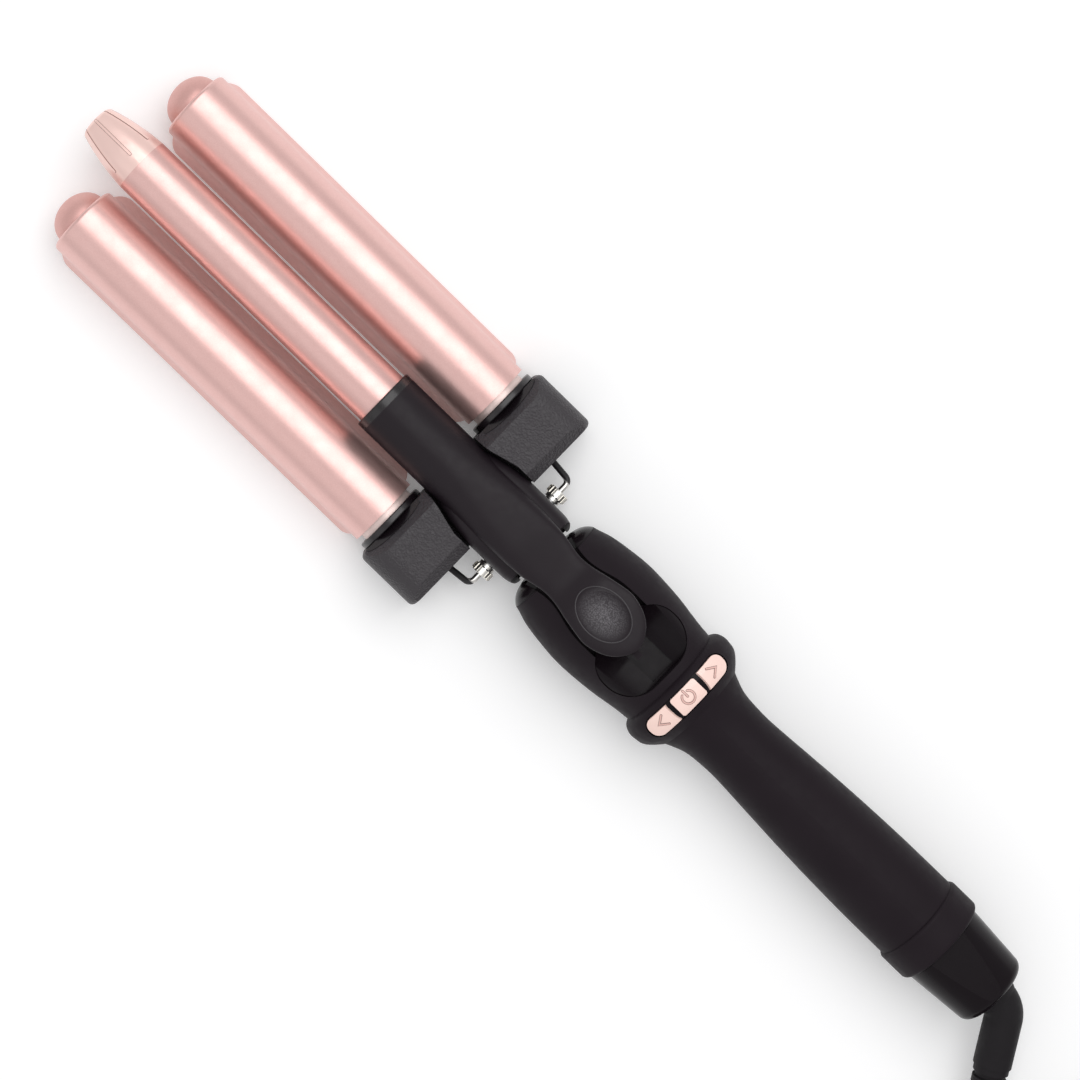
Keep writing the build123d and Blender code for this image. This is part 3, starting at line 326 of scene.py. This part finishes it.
def rim_highlight_black():
    """The lever's plastic on the dish's rim: glossier, and lighter in colour to paint the rim's highlight."""
    m = Material("rim_highlight_black", (0.028, 0.023, 0.027), roughness=0.34, specular_ior_level=0.5)
    m.roughness(m.spread(m.noise(0.002, 4.0), 0.28, 0.42))
    m.bump(m.noise(0.0003, 2.0), 0.000008, 0.3)
    return m.made


def lever_black():
    """The soft-touch plastic, with a coarser grain in the spoon's dish and a painted highlight there: light
    greys at the dish's centre that fade to the plastic's own colour towards its edge.
    """
    m = Material("lever_black", CHARCOAL, roughness=0.44, specular_ior_level=0.20)
    offset = m.node("ShaderNodeVectorMath", operation="SUBTRACT")
    m.link(m.place, offset.inputs[0])
    offset.inputs[1].default_value = (*DISH_CENTRE, DISH_FLOOR_Z)
    shrink = m.node("ShaderNodeVectorMath", operation="DIVIDE")
    m.link(offset.outputs["Vector"], shrink.inputs[0])
    shrink.inputs[1].default_value = (*DISH_HALF, DISH_DEEP)
    away = m.node("ShaderNodeVectorMath", operation="LENGTH")
    m.link(shrink.outputs["Vector"], away.inputs[0])
    # painted highlight: 1 at the dish's centre, fading to 0 towards its edge; it also spreads the coarse grain's
    # bump
    highlight_and_grain_fade = m.spread(away.outputs["Value"], 1.0, 0.0, (0.25, 0.98))
    plain = m.mixed(m.noise(0.012, 4.0), CHARCOAL, CHARCOAL_LIGHT)
    grain = m.spread(m.cells(0.00045).outputs["Distance"], 1.0, 0.0, (0.1, 0.7))
    # the dish's grain in greys far lighter than the plastic: the lightness is a painted highlight
    dish = m.mixed(grain, (0.055, 0.050, 0.055), (0.165, 0.155, 0.165))
    both = m.node("ShaderNodeMix", data_type="RGBA")
    m.link(highlight_and_grain_fade, both.inputs["Factor"])
    m.link(plain, both.inputs["A"])
    m.link(dish, both.inputs["B"])
    m.colour(both.outputs["Result"])
    m.roughness(m.spread(m.noise(0.003, 4.0), 0.39, 0.50))
    coarse = m.node("ShaderNodeMath", operation="MULTIPLY")
    m.link(highlight_and_grain_fade, coarse.inputs[0])
    m.link(grain, coarse.inputs[1])
    under = m.bump(coarse.outputs[0], 0.00005, 0.8)
    m.bump(m.noise(0.00022, 2.0), 0.000016, 0.40, under)
    return m.made


SLEEVE_FROM, SLEEVE_BLEND = 22.3 * MM, 0.6 * MM        # from the centre plane outwards
PLATING, SLEEVE = (0.70, 0.68, 0.65), (0.010, 0.008, 0.010)


def stand_steel():
    """Plated wire: black sleeve on the legs that run lengthwise, bare plating at the hinge's bushes."""
    m = Material("stand_steel", PLATING, metallic=1.0, roughness=0.22)
    apart = m.node("ShaderNodeSeparateXYZ")
    m.link(m.place, apart.inputs["Vector"])
    aside = m.node("ShaderNodeMath", operation="ABSOLUTE")
    m.link(apart.outputs["Y"], aside.inputs[0])
    sleeve = m.spread(aside.outputs[0], 0.0, 1.0, (SLEEVE_FROM, SLEEVE_FROM + SLEEVE_BLEND))
    m.colour(m.mixed(sleeve, PLATING, SLEEVE))
    m.link(m.spread(sleeve, 1.0, 0.0, (0.0, 1.0)), m.shader.inputs["Metallic"])
    m.roughness(m.spread(sleeve, 0.20, 0.50, (0.0, 1.0)))
    m.bump(m.noise(0.0004, 2.0), 0.000008, 0.3)
    return m.made


def symbol_rose():
    """The buttons' own colour, a little deeper, on the raised symbols."""
    m = Material("symbol_rose", (0.66, 0.40, 0.355), roughness=0.36)
    m.colour(m.mixed(m.noise(0.001, 3.0), (0.72, 0.45, 0.40), (0.82, 0.53, 0.475)))
    m.bump(m.noise(0.0004, 2.0), 0.000006, 0.25)
    return m.made


def symbol_edge(name="symbol_edge", low=(0.20, 0.11, 0.095), high=(0.30, 0.175, 0.15)):
    """Darker rose for the side walls and low feet of the symbols and ribs: painted shade along their edges."""
    m = Material(name, high, roughness=0.5)
    m.colour(m.mixed(m.noise(0.0008, 3.0), low, high))
    m.bump(m.noise(0.0003, 2.0), 0.00001, 0.4)
    return m.made


def nickel():
    m = Material("nickel", (0.72, 0.70, 0.66), metallic=1.0, roughness=0.2)
    m.roughness(m.spread(m.noise(0.001, 4.0, (1, 6, 1)), 0.14, 0.30))
    m.bump(m.noise(0.0003, 2.0, (1, 8, 1)), 0.000006, 0.25)
    return m.made


def steel():
    m = Material("steel", (0.50, 0.50, 0.51), metallic=1.0, roughness=0.34)
    m.roughness(m.spread(m.noise(0.0008, 4.0), 0.26, 0.44))
    m.bump(m.noise(0.0002, 2.0, (1, 8, 1)), 0.00001, 0.3)
    return m.made


def aluminium():
    m = Material("aluminium", (0.78, 0.78, 0.79), metallic=1.0, roughness=0.40)
    m.roughness(m.spread(m.noise(0.0006, 3.0, (0.05, 1, 1)), 0.32, 0.5))
    m.bump(m.noise(0.0002, 2.0, (0.03, 1, 1)), 0.00001, 0.4)
    return m.made


def ceramic():
    m = Material("ceramic", (0.84, 0.82, 0.77), roughness=0.6)
    m.colour(m.mixed(m.noise(0.003, 4.0), (0.78, 0.76, 0.71), (0.86, 0.84, 0.79)))
    m.bump(m.noise(0.0004, 3.0), 0.00002, 0.4)
    return m.made


def inner_plastic():
    m = Material("inner_plastic", (0.045, 0.045, 0.05), roughness=0.55)
    m.colour(m.mixed(m.noise(0.004, 3.0), (0.04, 0.04, 0.044), (0.06, 0.06, 0.066)))
    m.bump(m.noise(0.0003, 2.0), 0.00002, 0.4)
    return m.made


def board():
    """Green solder mask with faint copper runs under it."""
    m = Material("board", (0.02, 0.11, 0.05), roughness=0.35)
    runs = m.spread(m.cells(0.004, "DISTANCE_TO_EDGE").outputs["Distance"], 0.0, 1.0, (0.04, 0.08))
    m.colour(m.mixed(runs, (0.05, 0.20, 0.09), (0.02, 0.10, 0.045)))
    m.bump(runs, 0.00003, 0.5)
    return m.made


def brass():
    m = Material("brass", (0.80, 0.60, 0.28), metallic=1.0, roughness=0.28)
    m.roughness(m.spread(m.noise(0.001, 4.0), 0.2, 0.38))
    m.bump(m.noise(0.0003, 2.0), 0.000008, 0.3)
    return m.made


def cord_rubber():
    m = Material("cord_rubber", (0.012, 0.0105, 0.012), roughness=0.55, specular_ior_level=0.15)
    m.colour(m.mixed(m.noise(0.01, 3.0), (0.0105, 0.009, 0.0105), (0.0155, 0.0135, 0.0155)))
    m.roughness(m.spread(m.noise(0.002, 4.0), 0.48, 0.62))
    m.bump(m.noise(0.0003, 2.0), 0.00002, 0.4)
    return m.made


def grey_plastic():
    m = Material("grey_plastic", (0.30, 0.30, 0.31), roughness=0.5)
    m.colour(m.mixed(m.noise(0.004, 3.0), (0.27, 0.27, 0.28), (0.33, 0.33, 0.34)))
    m.bump(m.noise(0.0003, 2.0), 0.00002, 0.4)
    return m.made


SLOT_MATERIALS = {
    "rose_paint": rose_paint, "rose_plastic": rose_plastic, "soft_black": soft_black,
    "gloss_black": gloss_black, "nickel": nickel, "steel": steel, "aluminium": aluminium,
    "ceramic": ceramic, "inner_plastic": inner_plastic, "board": board, "brass": brass,
    "cord_rubber": cord_rubber, "grey_plastic": grey_plastic,
}
GRAINED_NODES = ("yoke_frame", "yoke_cover", "hinge_cover")
POLISHED = ("left_heat_flange", "right_heat_flange", "lever_front_ring")
DOMES = ("left_end_dome", "right_end_dome")
NECKS = ("left_barrel_neck", "right_barrel_neck")
BUTTONS = ("power_button", "up_button", "down_button")


def paint_nodes():
    made = {slot: build() for slot, build in SLOT_MATERIALS.items()}
    made["grained"] = grained_black()
    # The symbols' edge look is a darker rose that paints shade on their walls and feet; the lip look is a
    # lighter black that paints the dish rim's highlight.
    made["symbol"], made["symbol_edge"], made["lip"] = symbol_rose(), symbol_edge(), rim_highlight_black()
    # The ribs' edge look is a darker rose that paints shade along the tip ribs' sides.
    made["rib_edge"] = symbol_edge("rib_edge", (0.30, 0.16, 0.14), (0.40, 0.22, 0.19))
    made["piano"] = piano_black()
    own = dict.fromkeys(GRAINED_NODES, made["grained"])
    own.update(dict.fromkeys(POLISHED, made["piano"]))
    own.update(dict.fromkeys(DOMES, rose_paint("rose_dull", ROSE_DULL, ROSE_DULL_DEEP, (0.46, 0.54))))
    own.update(dict.fromkeys(NECKS, rose_paint("rose_pale", ROSE_PALE, ROSE_PALE_DEEP, (0.38, 0.46), 0.5)))
    own.update(dict.fromkeys(BUTTONS, button_rose()))
    own.update(stand_wire=stand_steel(), press_stop=made["soft_black"], nose_cap=made["gloss_black"],
               lever_shell=lever_black())
    for name, node in NODES.items():
        node.data.materials.clear()
        node.data.materials.append(own.get(name, made[SUBPART_SLOT[name]]))
    return made


# ---------------------------------------------------------------- symbols on the buttons
SYMBOL_RISE = 0.14 * MM
SYMBOL_SINK = 0.05 * MM       # of the walls' lower edge under the button's skin
# The foot is a low strip along each stroke that carries painted shade.
FOOT_WIDTH, FOOT_RISE = 0.16 * MM, 0.035 * MM
SYMBOL_X = -60.4 * MM         # across all three buttons
POWER_RADIUS = 2.15 * MM
POWER_GAP = math.radians(32)  # half of the ring's opening
POWER_BAR = (2.75 * MM, 0.35 * MM)
POWER_STROKE = 0.50 * MM
CHEVRON_APEX, CHEVRON_END = 13.0 * MM, 10.4 * MM      # from the centre plane
CHEVRON_HALF = 1.95 * MM
CHEVRON_STROKE = 0.50 * MM
ARC_POINTS = 40
STROKE_CAP_POINTS = 6
STROKE_STEP = 0.5 * MM
MITRE_LIMIT = 0.3             # least cosine of half a corner's turn


def stroke_sections(path, width):
    """Pairs of edge points along a stroke in plan, with round ends and a mitre at each corner."""
    half = width / 2
    pairs = []
    for index, point in enumerate(path):
        before = (point - path[index - 1]).normalized() if index else None
        after = (path[index + 1] - point).normalized() if index + 1 < len(path) else None
        along = (before or after).lerp(after or before, 0.5).normalized()
        mitre = half / max(MITRE_LIMIT, along.dot(after or before))
        side = Vector((-along.y, along.x))
        if before is None or after is None:
            turn = math.pi / 2 / STROKE_CAP_POINTS
            steps = range(STROKE_CAP_POINTS, 0, -1) if before is None else range(1, STROKE_CAP_POINTS + 1)
            cap = [(math.sin(step * turn), math.cos(step * turn)) for step in steps]
            outwards = -1 if before is None else 1
            ends = [(point + along * (outwards * half * far) + side * half * wide,
                     point + along * (outwards * half * far) - side * half * wide) for far, wide in cap]
            own = [(point + side * half, point - side * half)]
            pairs += ends + own if before is None else own + ends
        else:
            pairs.append((point + side * mitre, point - side * mitre))
    return pairs


def closer(path):
    """The same path with more points, so that a stroke follows a rounded skin."""
    spots = [path[0]]
    for a, b in zip(path, path[1:]):
        count = max(1, math.ceil((b - a).length / STROKE_STEP))
        spots += [a.lerp(b, number / count) for number in range(1, count + 1)]
    return spots


def skin_of(node):
    mesh = NODES[node].data
    return BVHTree.FromPolygons([v.co for v in mesh.vertices], [p.vertices for p in mesh.polygons])


def from_above(skin):
    """Places a point of a plan on the skin under it, raised along the skin's normal."""
    def place(point, rise):
        spot, normal = skin.ray_cast(Vector((point.x, point.y, CAD_BOX[1][2] + MM)), Vector((0, 0, -1)))[:2]
        return spot + normal * rise
    return place


def keep_piece(name, points, tops, walls, materials, body, slot):
    """Mesh piece whose top faces have the first material and whose walls have the second."""
    mesh = bpy.data.meshes.new(name)
    mesh.from_pydata(points, [], tops + walls)
    for material in materials:
        mesh.materials.append(material)
    for polygon in mesh.polygons:
        polygon.material_index = int(polygon.index >= len(tops)) if len(materials) > 1 else 0
    piece = bpy.data.objects.new(name, mesh)
    bpy.context.scene.collection.objects.link(piece)
    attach(piece, body)
    return piece


def raised_strokes(name, paths, width, place, rise, materials, body, slot):
    """Strokes in plan on the skin that place() finds: flat-topped ribs, and a low foot along each side that
    takes the walls' darker colour as painted shade.
    """
    points, tops, walls = [], [], []
    for path in paths:
        spots = closer([Vector(point) for point in path])
        for wide, low, high in ((width + 2 * FOOT_WIDTH, -SYMBOL_SINK, FOOT_RISE), (width, 0.0, rise)):
            pairs = stroke_sections(spots, wide)
            first = len(points)
            for left, right in pairs:
                points += [place(left, low), place(left, high), place(right, high), place(right, low)]
            # the foot's top goes with the walls and takes their darker colour: painted shade round each stroke
            caps = tops if high == rise else walls
            for number in range(len(pairs) - 1):
                a, b = first + 4 * number, first + 4 * number + 4
                caps.append((a + 1, b + 1, b + 2, a + 2))
                walls += [(a, b, b + 1, a + 1), (a + 2, b + 2, b + 3, a + 3), (a + 3, b + 3, b, a)]
            last = first + 4 * (len(pairs) - 1)
            walls += [(first, first + 1, first + 2, first + 3), (last + 3, last + 2, last + 1, last)]
    return keep_piece(name, points, tops, walls, materials, body, slot)


def make_symbols(materials):
    # the second look paints shade on the symbols' walls and feet
    looks = [materials["symbol"], materials["symbol_edge"]]

    def symbol(name, button, paths, width):
        place = from_above(skin_of(button))
        raised_strokes(name, paths, width, place, SYMBOL_RISE, looks, button, SUBPART_SLOT[button])

    whole = 2 * math.pi
    arc = [POWER_GAP + step / ARC_POINTS * (whole - 2 * POWER_GAP) for step in range(ARC_POINTS + 1)]
    ring = [(SYMBOL_X + POWER_RADIUS * math.cos(angle), POWER_RADIUS * math.sin(angle)) for angle in arc]
    bar = [(SYMBOL_X + place, 0.0) for place in POWER_BAR]
    symbol("power_symbol", "power_button", [ring, bar], POWER_STROKE)
    for name, button, side in (("up_symbol", "up_button", -1), ("down_symbol", "down_button", 1)):
        chevron = [(SYMBOL_X - CHEVRON_HALF, side * CHEVRON_END), (SYMBOL_X, side * CHEVRON_APEX),
                   (SYMBOL_X + CHEVRON_HALF, side * CHEVRON_END)]
        symbol(name, button, [chevron], CHEVRON_STROKE)


# ---------------------------------------------------------------- small relief
TIP_AXIS_Z = 20.0 * MM
TIP_RIBS = 7
RIB_ENDS = (203.9 * MM, 188.4 * MM)
RIB_STEPS = 16
RIB_WIDTH, RIB_RISE = 0.80 * MM, 0.20 * MM
OUTSIDE = 30 * MM             # from the tip's axis to where a ray towards its skin starts


def make_tip_ribs(materials):
    """Narrow lengthwise ribs of the cool tip, each over one of its slots."""
    skin = skin_of("cool_tip")
    pitch = 2 * math.pi / TIP_RIBS
    for number in range(TIP_RIBS):
        def place(point, rise, own=number * pitch):
            beside = own + pitch / 2
            aim = Vector((0, math.sin(beside), math.cos(beside)))
            axis_point = Vector((point.x, 0, TIP_AXIS_Z))
            reach = (skin.ray_cast(axis_point + aim * OUTSIDE, -aim)[0] - axis_point).length + rise
            angle = own + point.y / reach
            return axis_point + Vector((0, math.sin(angle), math.cos(angle))) * reach
        start, end = RIB_ENDS
        path = [(start + (end - start) * step / RIB_STEPS, 0.0) for step in range(RIB_STEPS + 1)]
        # the ribs' walls and feet take a darker rose that paints their shade
        raised_strokes(f"tip_rib_{number + 1}", [path], RIB_WIDTH, place, RIB_RISE,
                       [materials["rose_plastic"], materials["rib_edge"]], "lever", SUBPART_SLOT["cool_tip"])


RIM_RADIUS = 0.26 * MM
RIM_OUTSET = 1.01             # of the dish's half sizes
RIM_SUNK = 0.40               # of the rim's own radius, under the skin
RIM_STEPS, RIM_SIDES = 96, 10


def make_dish_rim(materials):
    """Rounded lip round the spoon's dish."""
    place = from_above(skin_of("lever_shell"))
    points, faces = [], []
    for step in range(RIM_STEPS):
        angle = 2 * math.pi * step / RIM_STEPS
        out = Vector((math.cos(angle) * DISH_HALF[0], math.sin(angle) * DISH_HALF[1]))
        middle = place(DISH_CENTRE + out * RIM_OUTSET, 0.0)
        middle.z -= RIM_RADIUS * RIM_SUNK
        away = Vector((math.cos(angle) * DISH_HALF[1], math.sin(angle) * DISH_HALF[0], 0)).normalized()
        for side in range(RIM_SIDES):
            turn = 2 * math.pi * side / RIM_SIDES
            points.append(middle + (away * math.cos(turn) + Vector((0, 0, math.sin(turn)))) * RIM_RADIUS)
            a, b = step * RIM_SIDES, (step + 1) % RIM_STEPS * RIM_SIDES
            after = (side + 1) % RIM_SIDES
            faces.append((a + side, b + side, b + after, a + after))
    # the rim's lighter colour is a painted highlight along the dish's edge
    look = [materials["lip"]]
    piece = keep_piece("spoon_dish_rim", points, faces, [], look, "lever", SUBPART_SLOT["lever_shell"])
    smooth(piece)


SHOULDER_OUTER = 15.1 * MM
SHOULDER_BOTTOM = 9.2 * MM
SHOULDER_PLAN = [(45.95, 11.85), (44.6, 11.85), (42.6, 11.9), (41.2, 12.1),
            (39.0, 12.5), (36.0, 13.3), (33.0, 14.1), (29.6, 14.9)]    # x and half width in mm
HOUSING_TOP = 27.69 * MM
HOUSING_SLOPE = 68.85 * MM    # height plus x, along the housing's sloped front
EDGE_ROUND, EDGE_SEGMENTS, EDGE_ANGLE = 0.5 * MM, 3, math.radians(35)


def smooth(piece):
    for polygon in piece.data.polygons:
        polygon.use_smooth = True


def soften(piece):
    bevel = piece.modifiers.new("rounded_edges", "BEVEL")
    bevel.width, bevel.segments = EDGE_ROUND, EDGE_SEGMENTS
    bevel.limit_method, bevel.angle_limit = "ANGLE", EDGE_ANGLE
    smooth(piece)


def make_shoulders(materials):
    """Inner shoulder of each housing, which follows the lever's side at a small distance."""
    for name, side in (("left_housing_shoulder", -1), ("right_housing_shoulder", 1)):
        points, faces = [], []
        for x, y in SHOULDER_PLAN:
            top = min(HOUSING_TOP, HOUSING_SLOPE - x * MM)
            inner, outer = side * y * MM, side * SHOULDER_OUTER
            section = (outer, SHOULDER_BOTTOM), (inner, SHOULDER_BOTTOM), (inner, top), (outer, top)
            points += [(x * MM, *corner) for corner in section]
        for number in range(len(SHOULDER_PLAN) - 1):
            a, b = 4 * number, 4 * number + 4
            faces += [(a + k, b + k, b + (k + 1) % 4, a + (k + 1) % 4)[::side] for k in range(4)]
        last = 4 * (len(SHOULDER_PLAN) - 1)
        faces += [(0, 1, 2, 3)[::side], (last + 3, last + 2, last + 1, last)[::side]]
        look = [materials["grained"]]
        soften(keep_piece(name, points, faces, [], look, "handle", SUBPART_SLOT["yoke_frame"]))


HEEL_PLAN = [(7.1, 9.5), (3.5, 9.5), (3.5, 11.2), (7.1, 11.2)]    # x and half width in mm
HEEL_LOW, HEEL_TOP = 11.6 * MM, 15.4 * MM


def make_heels(materials):
    """Small inward flange at the rear end of each of the lever's cheeks."""
    for name, side in (("left_cheek_heel", -1), ("right_cheek_heel", 1)):
        points = [(x * MM, side * y * MM, z) for z in (HEEL_LOW, HEEL_TOP) for x, y in HEEL_PLAN]
        faces = [(0, 1, 2, 3), (7, 6, 5, 4)] + [(k, k + 4, (k + 1) % 4 + 4, (k + 1) % 4) for k in range(4)]
        faces = [face[::side] for face in faces]
        look = [materials["soft_black"]]
        soften(keep_piece(name, points, faces, [], look, "lever", SUBPART_SLOT["lever_shell"]))


SEAL_FRONT = 45.9 * MM
SEAL_REACH = 2.6 * MM
SEAL_HALF = (10.9 * MM, 12.6 * MM)    # towards the middle barrel, and outwards
SEAL_RISE = 0.22 * MM
SEAL_ROUND = SEAL_HALF[1] + 0.2 * MM  # half width of the arc that bounds the lip
SEAL_STEPS, SEAL_ROWS = 40, 8
BARREL_AXIS_Y = 26.2 * MM


def make_seals(materials):
    """Black lip of each flange on the sloped front of its housing, bounded by an arc."""
    place = from_above(skin_of("yoke_frame"))
    for name, side in (("left_seal_lip", -1), ("right_seal_lip", 1)):
        points, tops = [], []
        for step in range(SEAL_STEPS + 1):
            across = -SEAL_HALF[0] + (SEAL_HALF[0] + SEAL_HALF[1]) * step / SEAL_STEPS
            depth = SEAL_REACH * math.sqrt(max(0.0, 1 - (across / SEAL_ROUND) ** 2))
            y = side * (BARREL_AXIS_Y + across)
            column = [Vector((SEAL_FRONT - depth * row / SEAL_ROWS, y)) for row in range(SEAL_ROWS + 1)]
            points += [place(spot, SEAL_RISE) for spot in column] + [place(column[-1], -SYMBOL_SINK)]
        row_length = SEAL_ROWS + 2
        for step in range(SEAL_STEPS):
            for row in range(SEAL_ROWS + 1):
                a = step * row_length + row
                tops.append((a, a + row_length, a + row_length + 1, a + 1)[::side])
        keep_piece(name, points, tops, [], [materials["piano"]], "handle", SUBPART_SLOT["left_heat_flange"])


# ---------------------------------------------------------------- floor, lamps and world
FLOOR_SIZE = 6.0
FLOOR_DROP = 0.2 * MM          # under the tool's rest plane, so that nothing flickers in it
FLOOR_COLOUR = (0.92, 0.92, 0.92)
FLOOR_LIFT = 0.145             # of the white that the floor shows to the camera whatever its light
SURROUND = (0.66, 0.66, 0.665)


def shown_rays(tree):
    """1 for what the camera, or a mirror or a glass in front of it, sees."""
    paths = tree.nodes.new("ShaderNodeLightPath")
    total = paths.outputs["Is Camera Ray"]
    for name in ("Is Glossy Ray", "Is Transmission Ray"):
        add = tree.nodes.new("ShaderNodeMath")
        add.operation = "MAXIMUM"
        tree.links.new(total, add.inputs[0])
        tree.links.new(paths.outputs[name], add.inputs[1])
        total = add.outputs[0]
    return total


def make_floor():
    half = FLOOR_SIZE / 2
    mesh = bpy.data.meshes.new("floor")
    corners = [(-half, -half, 0), (half, -half, 0), (half, half, 0), (-half, half, 0)]
    mesh.from_pydata(corners, [], [(0, 1, 2, 3)])
    floor = bpy.data.objects.new("floor", mesh)
    bpy.context.scene.collection.objects.link(floor)
    floor.location.z = -FLOOR_DROP
    material = Material("floor", FLOOR_COLOUR, roughness=0.9, specular_ior_level=0.1)
    material.shader.inputs["Emission Color"].default_value = (1, 1, 1, 1)
    lift = material.node("ShaderNodeMath", operation="MULTIPLY")
    lift.inputs[1].default_value = FLOOR_LIFT
    material.link(shown_rays(material.tree), lift.inputs[0])
    material.link(lift.outputs[0], material.shader.inputs["Emission Strength"])
    mesh.materials.append(material.made)


def make_world():
    world = bpy.data.worlds.new("studio")
    bpy.context.scene.world = world
    world.use_nodes = True
    world.node_tree.nodes["Background"].inputs["Color"].default_value = (*SURROUND, 1.0)


def softbox(name, direction, distance, width, height, power):
    """Soft lamp that faces the tool from that direction."""
    data = bpy.data.lights.new(name, "AREA")
    data.shape = "RECTANGLE"
    data.size, data.size_y = width, height
    data.energy = power
    lamp = bpy.data.objects.new(name, data)
    bpy.context.scene.collection.objects.link(lamp)
    away = Vector(direction).normalized()
    facing = away.to_track_quat("Z", "Y").to_matrix().to_4x4()
    lamp.matrix_world = Matrix.Translation(away * distance) @ facing


def make_lamps():
    softbox("key_softbox", (0.10, -0.33, 0.94), distance=1.5, width=1.1, height=1.5, power=10.0)
    softbox("fill_softbox", (0.1, 0.75, 0.65), distance=1.7, width=1.2, height=1.1, power=1.2)


# ---------------------------------------------------------------- the scene
def main():
    scene = bpy.context.scene
    scene.view_settings.view_transform = "Standard"
    make_camera()
    materials = paint_nodes()
    cord = make_cord()
    cord.data.materials.append(materials["cord_rubber"])
    for make in (make_symbols, make_tip_ribs, make_dish_rim, make_seals, make_shoulders, make_heels):
        make(materials)
    make_floor()
    make_world()
    make_lamps()


main()
